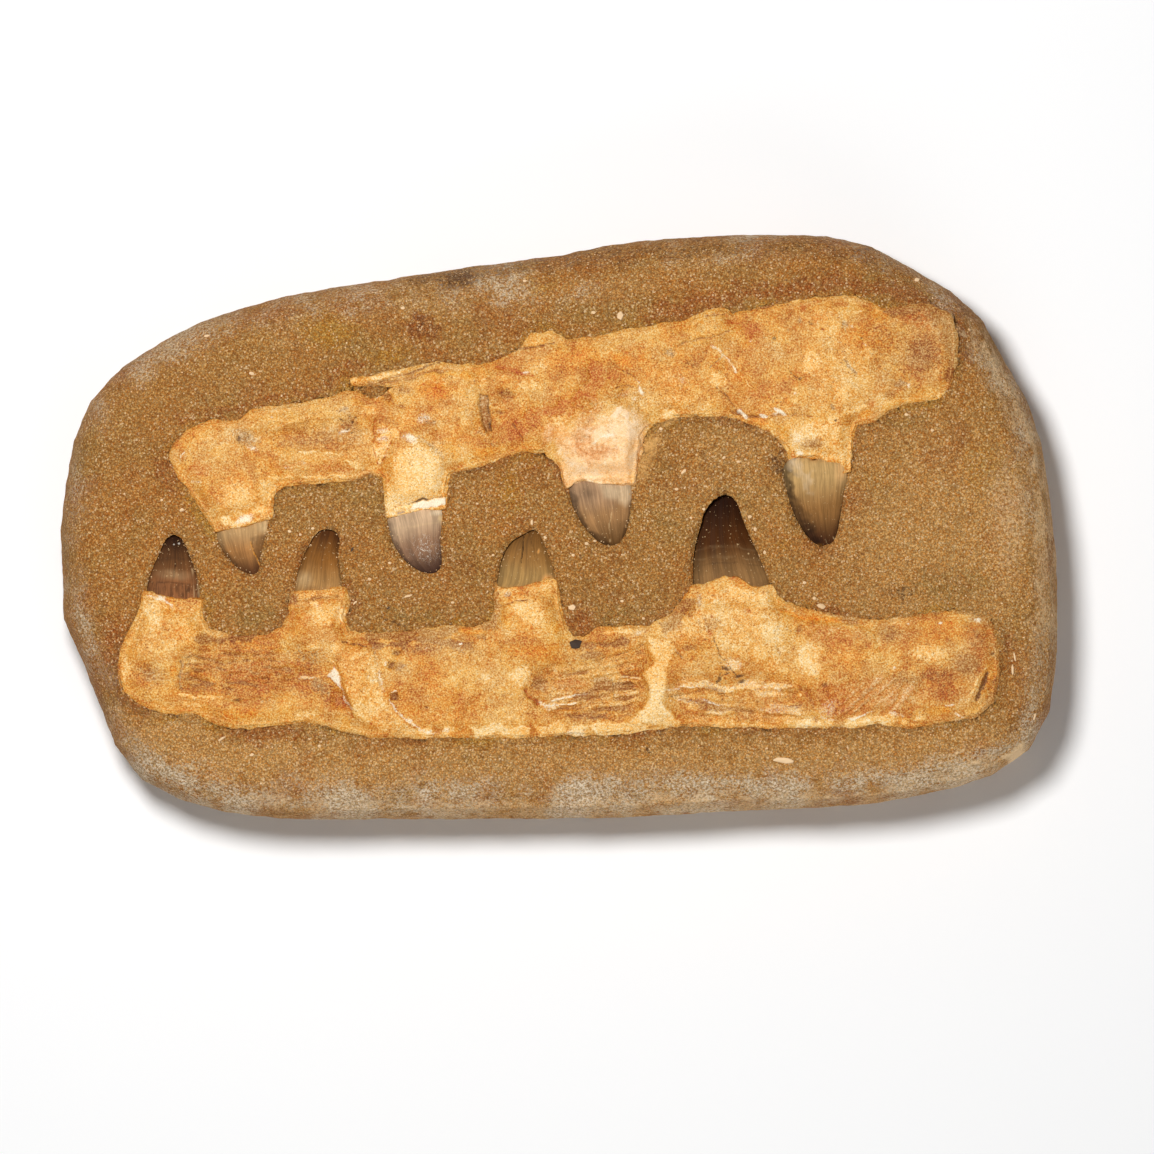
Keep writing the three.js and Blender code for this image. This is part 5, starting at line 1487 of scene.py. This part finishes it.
def paintBone():
    material, net = newMaterial("fossilBone")
    shader = net.nodes["Principled BSDF"]
    place = net.nodes.new("ShaderNodeTexCoord").outputs["Object"]
    mottle = remap(net, noiseTexture(net, place, 7, 6, 0.7), 0.4, 0.6)
    color = mixColors(net, mottle, bone["tan"], bone["amber"])
    broad = noiseTexture(net, place, 15, 4, 0.6)
    color = clouded(net, place, color, bone["straw"], (19, 4, 0.6), (0.5, 0.66), 0.7)
    cream = readTone(net, "cream")
    color = stained(net, place, color, readTone(net, "ochre"), bone["ochre"], 1.6, 0.4, 0.85)
    color = stained(net, place, color, cream, bone["gold"], 1.4, 0.65, 0.9)
    color = stained(net, place, color, remap(net, cream, 0.3, 1), bone["cream"], 1.3, 0.75, 0.9)
    for tone, size, breakUp in (("peach", 3, 0.3), ("rust", 1.4, 0.4), ("brown", 1.2, 0.45),
                                ("grey", 1.1, 0.6), ("sand", 0.9, 0.6)):
        color = stained(net, place, color, readTone(net, tone), bone[tone], size, breakUp)

    # broad and small clouds, then a fine stipple of cream grains and brown pits over all of it
    color = deepen(net, color, remap(net, broad, 0.38, 0.62, 1.24, 0.83))
    clouds = noiseTexture(net, place, 2.6, 4, 0.65)
    color = deepen(net, color, remap(net, clouds, 0.38, 0.62, 1.12, 0.93))
    smooth = color
    fine = noiseTexture(net, place, 0.56, 2, 0.7)
    color = deepen(net, color, remap(net, fine, 0.32, 0.68, 1.56, 0.58))
    specks = noiseTexture(net, place, 0.55, 1, 0.5)
    dots = remap(net, specks, 0.63, 0.73, 0, 0.9)
    color = mixColors(net, dots, color, bone["pit"], "MULTIPLY")
    calm = calculate(net, "MULTIPLY", readTone(net, "peach"), 0.75)
    color = mixColors(net, calm, color, smooth)
    color = stained(net, place, color, readTone(net, "white"), bone["white"], 0.6, 0.7, 0.9)
    color = stained(net, place, color, readTone(net, "dark"), bone["dark"], 0.6, 0.4, 0.9)
    grain = noiseTexture(net, place, 0.45, 2, 0.6)
    color = lighten(net, color, remap(net, grain, 0.35, 0.65, 0.9, 1.1))
    net.links.new(color, shader.inputs["Base Color"])
    shader.inputs["Roughness"].default_value = bone["roughness"]
    shader.inputs["Specular IOR Level"].default_value = 0.35
    rough = addBump(net, None, noiseTexture(net, place, 1.2, 5, 0.7), 0.5, 0.35)
    pits = remap(net, specks, 0.6, 0.74, 1, 0)
    addBump(net, shader, pits, 0.5, 0.2, rough)
    return material


boneMaterial = paintBone()
jaws = []
for nodeName, pieceName, marks, seed in (("upper_jaw_bone", "upper_jaw", upperMarks, 1000),
                                         ("lower_jaw_bone", "lower_jaw", lowerMarks, 2000)):
    jaw = makeBone(nodeName, pieceName, marks, seed)
    jaws.append(jaw)
    setMaterial(jaw, boneMaterial)
    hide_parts(nodeName)
    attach(jaw, "root")
    print(pieceName + ":", len(jaw.data.polygons), "faces")
boneTree = treeOf(jaws)


# The block of rock

rock = {
    "voxel": 0.8,
    "top": 46,
    "overlap": 0.32,
    "warp": ((2.2, 9, 31), (0.8, 2.6, 41)),
    "weathered": ((0.45, 16, 5), (0.35, 5, 6)),
    "paleClouds": ((0.9, 11, 7), (0.6, 4, 8)),
    "swells": ((0.55, 40, 11), (0.45, 15, 12), (0.26, 6, 13)),
    "lapping": ((0.4, 6, 16), (0.2, 2, 17)),
    "khaki": (0.52, 0.252, 0.063),
    "warm": (0.535, 0.235, 0.052),
    "umber": (0.39, 0.175, 0.043),
    "pale": (0.6, 0.4, 0.2),
    "crust": (0.86, 0.71, 0.52),
    "straw": (0.68, 0.36, 0.11),
    "rust": (0.42, 0.14, 0.032),
    "ochre": (0.56, 0.27, 0.04),
    "dark": (0.14, 0.06, 0.024),
    "olive": (0.42, 0.235, 0.06),
    "cream": (0.82, 0.56, 0.3),
    "dust": (0.76, 0.41, 0.13),
    "grain": 0.52,
    "roughness": 0.92,
    "marks": [
        # the weathered slope, with painted shade on the top rim and painted light on the bottom and right
        # rims
        line(13, (-160, 44), (-140, 62), (-118, 72), (-85, 81), (-56, 85), pale=0.42),
        # painted shade: the top rim is darkened, and bare keeps the pale crust off it
        line(10, (-50, 88), (-10, 92), (40, 97), (90, 99), (110, 96), dark=0.3, bare=0.75),
        oval(-165, -28, 7, 17, pale=0.8),
        oval(118, -22.6, 9, 5, dark=0.45),
        # painted light: the next five marks lighten the right and bottom rims and the broken corner, where
        # their slopes turn away from the lamp; the pale in them is partly real crust
        oval(157, 4, 14, 44, soft=1, cream=0.32),
        line(8, (30, -95.4), (61, -95), (102, -94.6), cream=0.5, pale=0.8),
        line(13, (143, 71), (154, 55), (162, 39), (167, 20), (171, -5), (171, -34), cream=0.45),
        line(12, (-110, -97), (-50, -99), (0, -99), (60, -97.6), (110, -94), (150, -84), cream=0.35),
        oval(159, -78.6, 7, 3.4, turn=40, cream=1, pale=1),
        line(11, (-168, 34), (-170, 15), (-169, -2), pale=0.32),
        # painted light: the next three marks lighten the bottom and right rims, partly with their real pale
        # crust
        line(12, (-120, -97), (-60, -99), (0, -99), (60, -98), (110, -94), (150, -84), (164, -72), pale=0.9,
             straw=1),
        line(15, (-150, -82), (-120, -90), (-80, -93), (-30, -92), (20, -92), (70, -91), (120, -87),
             (150, -80), pale=0.9),
        line(15, (168, 30), (171, 0), (171, -30), (168, -56), pale=0.25, straw=1),
        oval(-125, -85, 16, 7, pale=0.8),
        oval(-27, -92, 11, 6, pale=0.9),
        oval(28, -92, 18, 6, pale=0.85),
        oval(122, -88, 24, 6, pale=0.85),
        oval(70, 94, 20, 4, pale=0.2),
        oval(-24, 74, 6, 4, pale=0.8),
        # paler ground, most of it in the right half
        oval(135, -5, 75, 80, soft=1, straw=0.9),
        oval(60, 10, 50, 40, soft=1, straw=0.4),
        line(30, (-150, -76), (-60, -86), (60, -86), (150, -78), straw=1),
        line(16, (-100, 66), (-50, 78), (10, 84), (60, 92), straw=0.4),
        # ochre stains
        oval(-81, 69, 17, 10, ochre=1),
        oval(-8, 84, 12, 6, ochre=0.55),
        oval(40, -92, 12, 4, ochre=0.7),
        oval(-111, -93, 7, 4, ochre=0.7),
        oval(-142, -85, 7, 5, ochre=0.6),
        oval(77, -6, 5, 3, ochre=0.6),
        oval(150, 22, 16, 16, ochre=0.35),
        oval(-60, 59, 16, 5, turn=8, ochre=0.6),
        # reddish brown stains
        line(9, (30, 72), (60, 80), (90, 85), (115, 83), (131, 79), rust=0.7),
        oval(133, 74, 10, 10, rust=0.95),
        line(7, (138, 80), (143, 68), (142, 58), rust=0.5),
        oval(-47, 69, 10, 9, rust=0.85, dark=0.35),
        oval(-155, -43, 9, 20, rust=0.75),
        oval(-138, 20, 8, 15, rust=0.65),
        oval(-102, -73, 28, 6, rust=0.7),
        oval(-11, 25, 13, 7, ochre=0.8, rust=0.3),
        oval(-18, 12, 7, 15, ochre=0.6),
        oval(8, -33, 8, 9, rust=0.8),
        line(7, (-132, 36), (-112, 41), (-84, 47), (-70, 55), rust=0.5),
        oval(156, -42, 6, 14, rust=0.45),
        oval(-2, 68, 12, 5, rust=0.35),
        # dark and olive ground, and a painted shadow on the rock left of the fourth upper crown
        oval(-34, 88, 12, 6, dark=0.85),
        oval(-38.4, 59, 1.5, 1.2, dark=1),
        oval(136, -20, 26, 11, olive=0.6),
        oval(60, 26, 24, 14, straw=0.7),
        oval(-107, -33, 16, 6, olive=0.6),
        oval(-45, -31, 30, 6, olive=0.6),
        oval(22, -31, 22, 5, olive=0.6),
        oval(122, 36, 14, 6, olive=0.45),
        oval(-85, 12, 14, 4, olive=0.4),
        # painted shadow on the rock wall left of the fourth upper crown
        oval(77, 21, 5, 10, dark=0.5),
        # bone dust where a bone thins out over the rock
        oval(30, 25, 6, 13, turn=-18, soft=1, dust=0.7),
        oval(38, 36.4, 8, 3, turn=12, soft=1, dust=1),
        # hairline cracks
        line(0.9, (29.5, -71), (31.2, -74), (30.4, -77), (32, -80), rise=-0.5, dark=1),
        line(0.8, (-60.5, -32.6), (-58, -33.4), (-55.5, -34.2), (-52.5, -35.4), rise=-0.4, dark=1),
        # ridges of the broken corner
        line(1.6, (163, -75.5), (159, -79), (155, -81.5), rise=0.9, cream=1),
        line(1.5, (164.5, -76.5), (161, -81), (159, -84), rise=0.9, cream=1),
        line(1.2, (159, -79), (160.6, -83), rise=0.6, cream=0.9),
        line(1.2, (135.5, -80.2), (141, -77.8), rise=0.3, cream=0.6),
        oval(145.5, -83, 3.5, 1.6, rise=0.3, cream=0.8),
        oval(155, -77, 9, 3, turn=20, pale=0.8),
    ],
    "humps": [
        oval(-30, -6, 120, 22, turn=3, soft=1, rise=1.1),
        oval(110, 0, 50, 26, soft=1, rise=1.0),
        oval(-105, 58, 60, 18, turn=17, soft=1, rise=0.9),
        oval(150, -10, 22, 60, soft=1, rise=-0.3),
        oval(-20, -84, 130, 12, soft=1, rise=0.6),
    ],
}


# 1 where the rock can't be seen: beside a piece that is sunk in it, and on its underside.
def sunkOrUnder(points):
    nearBone = distanceTo(boneTree, points, 1.6)
    nearCrown = distanceTo(crownTree, points, 1.6)
    hidden = (nearBone < 1.5) & (points[:, 2] < 42)
    hidden |= (nearCrown < 1.5) & (points[:, 2] < 35)
    hidden |= points[:, 2] < 0.5
    return hidden.astype(float)


# Moves the walls of a pocket sideways onto the piece that lies in it.
def closeIn(points, height, tree, lowest, reach):
    for i in np.nonzero(height > lowest)[0]:
        spot = tree.find_nearest(Vector(points[i]) * mm, 4.5 * mm)[0]
        if spot is None:
            continue
        aside = np.array(spot)[:2] / mm - points[i, :2]
        away = np.hypot(*aside)
        if 0.01 < away < reach:
            points[i, :2] += aside * (1 + rock["overlap"] / away)


def makeRock():
    piece = copyOfNode("matrix_block", "matrix_rock")
    remesh(piece, rock["voxel"])
    hidden = sunkOrUnder(readPoints(piece))
    thinOut(piece, hidden, 1 - 0.95 * hidden.mean())
    points = readPoints(piece)
    normals = readNormals(piece)
    height = points[:, 2].copy()
    onTop = ease((height - 38) / 6)
    flat = points * (1, 1, 0.3)

    tones = blank(points, ("straw", "pale", "rust", "ochre", "dark", "olive", "cream", "dust", "bare"))
    warp = wander(flat, rock["warp"])
    raised = [mark for mark in rock["marks"] if "rise" in mark]
    painted = [mark for mark in rock["marks"] if "rise" not in mark]
    rise = applyMarks(points + 0.25 * warp, raised, tones, 500)
    applyMarks(points + warp, painted, tones, 600)
    rise += applyMarks(points, rock["humps"], {}, 700)

    slope = ease((rock["top"] - 0.3 - height) / 3)
    weathered = slope * swell(flat, rock["weathered"], 0, 0.22)
    tones["pale"] = np.maximum(tones["pale"] * (0.35 + 0.65 * slope), weathered)
    tones["pale"] *= 1 - tones.pop("bare")
    tones["pale"] *= np.clip(swell(flat, rock["paleClouds"], 0, 0.7), 0, 1.3)

    rise += swell(flat, rock["swells"])
    rise += 0.16 * lumps(flat, 2.6, 14) + 0.14 * lumps(points, 1.3, 15)
    pitted = ovalMask(points, (140, -8), (34, 50), 10, 1) * ease(0.3 + 2 * lumps(flat, 12, 25))
    pits = pitted * ease((lumps(flat, 2.2, 26) + 0.5 * lumps(flat, 1.2, 27) - 0.3) / 0.35)
    rise -= 0.6 * pits
    tones["dark"] = np.maximum(tones["dark"], 0.3 * pits)
    beside = distanceTo(boneTree, points, 9)
    points[:, 2] += rise * onTop
    halo = ease((3.5 + 3 * lumps(flat, 8, 9) - beside) / 4) * (beside < 9)
    kind = lumps(flat, 24, 10)
    tones["ochre"] = np.maximum(tones["ochre"], halo * ease(0.5 + kind) * 0.8)
    tones["rust"] = np.maximum(tones["rust"], halo * ease(0.4 - kind) * 0.6)

    # the rock laps against the bones, here higher and there lower
    lap = ease((3 - beside) / 2.4) * ease((height - 42.5) / 1)
    level = swell(flat, rock["lapping"], 0, rock["top"] + 0.95)
    points[:, 2] += lap * (level - points[:, 2])
    closeIn(points, height, boneTree, 40, 1.3)
    closeIn(points, height, crownTree, 36, 2.2)

    worn = 0.7 * (0.5 + 0.5 * lumps(points, 30, 21)) + 0.6 * (0.5 + 0.5 * lumps(points, 11, 22))
    worn += 0.4 * (0.5 + 0.5 * lumps(points, 4, 23)) + 0.25 * (0.5 + 0.5 * lumps(points, 1.8, 24))
    onFlank = ease((beside - 3) / 3) * ease((height - 0.5) / 2) * ease((46.5 - height) / 6)
    points -= normals * (worn * onFlank)[:, None]
    points[:, 2] = np.maximum(points[:, 2], 0)
    writePoints(piece, points)
    writeTones(piece, tones)
    thinToLimit(piece)
    points = readPoints(piece)
    points[:, 2] = np.maximum(points[:, 2], 0)
    writePoints(piece, points)
    return piece


def paintRock():
    material, net = newMaterial("sandyRock")
    shader = net.nodes["Principled BSDF"]
    place = net.nodes.new("ShaderNodeTexCoord").outputs["Object"]
    grains = placeGroup(net, sandGrain, place, Scale=1 / (rock["grain"] * mm))
    patches = remap(net, noiseTexture(net, place, 26, 4), 0.38, 0.62)
    color = mixColors(net, patches, rock["khaki"], rock["warm"])
    color = clouded(net, place, color, rock["umber"], (7, 5, 0.7), (0.5, 0.75), 0.4)
    color = clouded(net, place, color, rock["olive"], (17, 4), (0.5, 0.7), 0.5)
    for tone in ("straw", "olive", "pale", "ochre", "rust", "dark"):
        color = stained(net, place, color, readTone(net, tone), rock[tone], 1.8, 0.7, 0.8)
    color = clouded(net, place, color, rock["rust"], (21, 4), (0.52, 0.7), 0.4)
    fine = noiseTexture(net, place, 0.62, 2, 0.7)
    color = deepen(net, color, remap(net, fine, 0.3, 0.7, 1.42, 0.7))
    color = deepen(net, color, remap(net, grains["Value"], 0.15, 0.85, 1.16, 0.88))
    # painted shade: the gaps between the sand grains are darkened
    color = lighten(net, color, remap(net, grains["Height"], 0.75, 1.2, 0.6, 1.04))
    for kind, share, paint in (("Dark", 0.5, "dark"), ("Pale", 0.65, "cream")):
        color = mixColors(net, calculate(net, "MULTIPLY", grains[kind], share), color, rock[paint])
    crust = remap(net, noiseTexture(net, place, 0.9, 4, 0.75), 0.47, 0.59, 0, 0.9)
    crust = calculate(net, "MULTIPLY", crust, readTone(net, "pale"))
    color = mixColors(net, crust, color, rock["crust"])
    color = stained(net, place, color, readTone(net, "cream"), rock["cream"], 1.2, 0.5)
    color = stained(net, place, color, readTone(net, "dust"), rock["dust"], 0.9, 0.5, 0.9)
    net.links.new(color, shader.inputs["Base Color"])
    shader.inputs["Roughness"].default_value = rock["roughness"]
    shader.inputs["Specular IOR Level"].default_value = 0.25
    coarse = addBump(net, None, noiseTexture(net, place, 1.9, 6, 0.75), 0.7, 0.8)
    addBump(net, shader, grains["Height"], 0.6, 0.3, coarse)
    return material


rockPiece = makeRock()
setMaterial(rockPiece, paintRock())
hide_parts("matrix_block")
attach(rockPiece, "root")
print("rock:", len(rockPiece.data.polygons), "faces")


# Loose grains on the rock: the ones that stand out in the picture, and many small ones

grains = {
    "seed": 77,
    "count": 5200,
    "reach": (174, 102),    # half of the stretch that they are strewn over
    "sizes": (0.14, 0.42),
    "onFlanks": 260,        # tries for each crown
    "flankSizes": (0.12, 0.34),
    "above": 90,            # the height that they are dropped from
    "batch": 2000,          # vertices that are made before they are put aside
    "fromEdge": 0.3,
    "tan": (0.55, 0.31, 0.12),
    "pale": (0.86, 0.6, 0.34),
    "dark": (0.05, 0.028, 0.016),
    # place, reach along and across, turn and how pale, from 0 for dark to 1
    "named": [
        ((-131.4, 5.8), 0.9, 0.7, 20, 1), ((-138.4, 9.2), 0.6, 0.5, 0, 1),
        ((-107, 53.2), 1, 0.7, -20, 1), ((-122.7, 66.4), 1.1, 0.8, 0, 1),
        ((-11.9, 85.6), 0.7, 0.6, 0, 1), ((21.3, 73.5), 1.2, 1.7, 0, 0.9),
        ((124.8, 85.9), 1.1, 0.8, 30, 1), ((4.5, -28.2), 1.8, 1, 5, 1),
        ((171.9, -30.9), 0.7, 0.6, 0, 1), ((158.8, -45.6), 1.8, 0.5, 100, 1),
        ((158, -49.8), 1.8, 0.5, 92, 1), ((78, -81.4), 4.3, 1, -8, 0.95),
        ((-58.9, -12.7), 0.7, 0.5, 0, 1), ((-52.6, -24.2), 1.8, 0.5, 15, 0.9),
        ((-93.8, -1.7), 0.7, 0.6, 0, 1), ((-90, -2.8), 0.6, 0.5, 0, 0.9),
        ((-85.7, -0.7), 0.7, 0.5, 0, 1), ((-66, -18.3), 0.8, 0.6, 0, 0.9),
        ((-71, -26.5), 1.1, 0.4, 40, 0.9), ((-37, -26.5), 0.7, 0.5, 0, 0.9),
        ((-117.5, -74), 1.8, 0.5, 35, 1), ((-107, -79.5), 0.9, 0.5, 20, 1),
        ((-83.5, -76.5), 0.7, 0.5, 0, 1), ((121, 39), 0.8, 0.6, 0, 1), ((130, 33.5), 0.7, 0.6, 0, 0.9),
        ((143, 68.5), 0.8, 0.7, 0, 0.8), ((43.5, 19.2), 1.5, 0.5, 40, 0.95),
        ((41, 13), 0.8, 0.6, 0, 0.9), ((35.5, 34), 0.7, 0.6, 0, 1), ((62.5, 22.5), 0.8, 0.5, 0, 0.9),
        ((57.5, 24), 0.8, 0.5, 40, 0.9), ((-54.5, 76), 0.9, 0.7, 0, 1), ((12, 74.5), 0.8, 0.6, 0, 0.9),
        ((-28.5, 8), 0.6, 0.5, 0, 0.9), ((-9.4, 1.4), 0.6, 1, 0, 1), ((-4.8, -3.8), 0.8, 0.5, -40, 1),
        ((22, -26), 0.7, 0.5, 0, 1), ((29.5, -32), 0.7, 0.6, 0, 0.9), ((91.5, -27.7), 2, 1, -12, 0.85),
        ((89, -25), 0.8, 0.6, 0, 0.9), ((85.5, -19.5), 0.7, 0.6, 0, 1),
        ((-59.3, -28.4), 0.9, 0.7, 0, 0), ((5.7, -40.8), 2.3, 2, 20, 0), ((-72, -8), 1, 0.4, 60, 0.05),
        ((165.8, -66.2), 1.4, 0.5, 80, 1), ((5, -10), 0.7, 0.6, 0, 1), ((9.6, -6), 0.8, 0.6, 0, 0.9),
        ((12.4, -5), 0.7, 0.5, 0, 0.9), ((-23, -10), 0.6, 0.5, 0, 0.9), ((-100, 38), 0.6, 0.5, 0, 0.9),
        ((46, 3), 0.6, 0.5, 0, 1), ((50.5, 6), 0.7, 0.6, 0, 0.9), ((68.4, -1), 0.7, 0.9, 0, 0.9),
        ((66.5, 3.4), 0.8, 0.6, 0, 0.85), ((71.6, -9), 0.6, 0.8, 0, 0.9),
    ],
}


def dropOnto(tree, at):
    return tree.ray_cast(Vector((at[0], at[1], grains["above"])) * mm, Vector((0, 0, -1)))


def addGrain(bm, tones, tree, at, reach, across, turn, paleness, dice):
    hit, normal, _, _ = dropOnto(tree, at)
    if hit is None or normal.z < 0.2:
        return
    made = bmesh.ops.create_icosphere(bm, subdivisions=1, radius=1)["verts"]
    for vert in made:
        vert.co *= 1 + dice.uniform(-0.22, 0.22)
    size = Matrix.Diagonal((reach * mm, across * mm, min(reach, across) * 0.7 * mm, 1))
    upright = Vector((0, 0, 1)).rotation_difference(normal).to_matrix().to_4x4()
    spin = Matrix.Rotation(math.radians(turn), 4, "Z")
    bmesh.ops.transform(bm, matrix=Matrix.Translation(hit) @ upright @ spin @ size, verts=made)
    tones.extend(paleness or dice.choice((0, 0, 0, 0, 0, 0, 0.4)) for vert in made)


def makeGrains():
    dice = random.Random(grains["seed"])
    tree = treeOf([rockPiece])
    shown = treeOf([rockPiece, *jaws, *crownPieces])
    whole = bmesh.new()
    tones = []
    batch = bmesh.new()
    holder = bpy.data.meshes.new("grainBatch")
    for at, reach, across, turn, paleness in grains["named"]:
        addGrain(batch, tones, shown, at, reach, across, turn, paleness, dice)
    low, high = grains["sizes"]

    # grit that clings where a crown meets the rock
    for crown in crownPieces:
        points = readPoints(crown)
        lowest = points.min(axis=0) - 1
        highest = points.max(axis=0) + 1
        for _ in range(grains["onFlanks"]):
            at = (dice.uniform(lowest[0], highest[0]), dice.uniform(lowest[1], highest[1]))
            spot = dropOnto(shown, at)[0]
            if tree.find_nearest(spot, 0.9 * mm)[0] and crownTree.find_nearest(spot, 0.9 * mm)[0]:
                size = dice.uniform(*grains["flankSizes"])
                paleness = dice.choice((0.3, 0.6, 0.8, 1))
                addGrain(batch, tones, shown, at, size, size * 0.8, 0, paleness, dice)
    for _ in range(grains["count"]):
        at = [dice.uniform(-reach, reach) for reach in grains["reach"]]
        size = low + (high - low) * dice.random() ** 2.5
        paleness = dice.choice((0.2, 0.3, 0.4, 0.6, 0.8, 1))
        away = boneTree.find_nearest(Vector((at[0], at[1], 46.5)) * mm, 1 * mm)[3]
        if away is None:
            addGrain(batch, tones, tree, at, size, size * dice.uniform(0.6, 1), dice.uniform(0, 180),
                     paleness, dice)
        if len(batch.verts) > grains["batch"]:
            batch.to_mesh(holder)
            whole.from_mesh(holder)
            batch.clear()
    batch.to_mesh(holder)
    whole.from_mesh(holder)
    batch.free()
    bpy.data.meshes.remove(holder)
    gap = grains["fromEdge"] * mm
    for vert in whole.verts:
        vert.co.x = min(max(vert.co.x, cadBox[0][0] + gap), cadBox[1][0] - gap)
    mesh = bpy.data.meshes.new("loose_grains")
    whole.to_mesh(mesh)
    whole.free()
    piece = bpy.data.objects.new("loose_grains", mesh)
    scene.collection.objects.link(piece)
    writeTone(piece, "paleness", np.array(tones))
    return piece


def paintGrains():
    material, net = newMaterial("looseGrain")
    shader = net.nodes["Principled BSDF"]
    paleness = readTone(net, "paleness")
    color = mixColors(net, remap(net, paleness, 0, 0.45), grains["dark"], grains["tan"])
    color = mixColors(net, remap(net, paleness, 0.55, 1), color, grains["pale"])
    net.links.new(color, shader.inputs["Base Color"])
    shader.inputs["Roughness"].default_value = 0.8
    return material


grainPiece = makeGrains()
setMaterial(grainPiece, paintGrains())
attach(grainPiece, "root")
print("grains:", len(grainPiece.data.polygons), "faces")
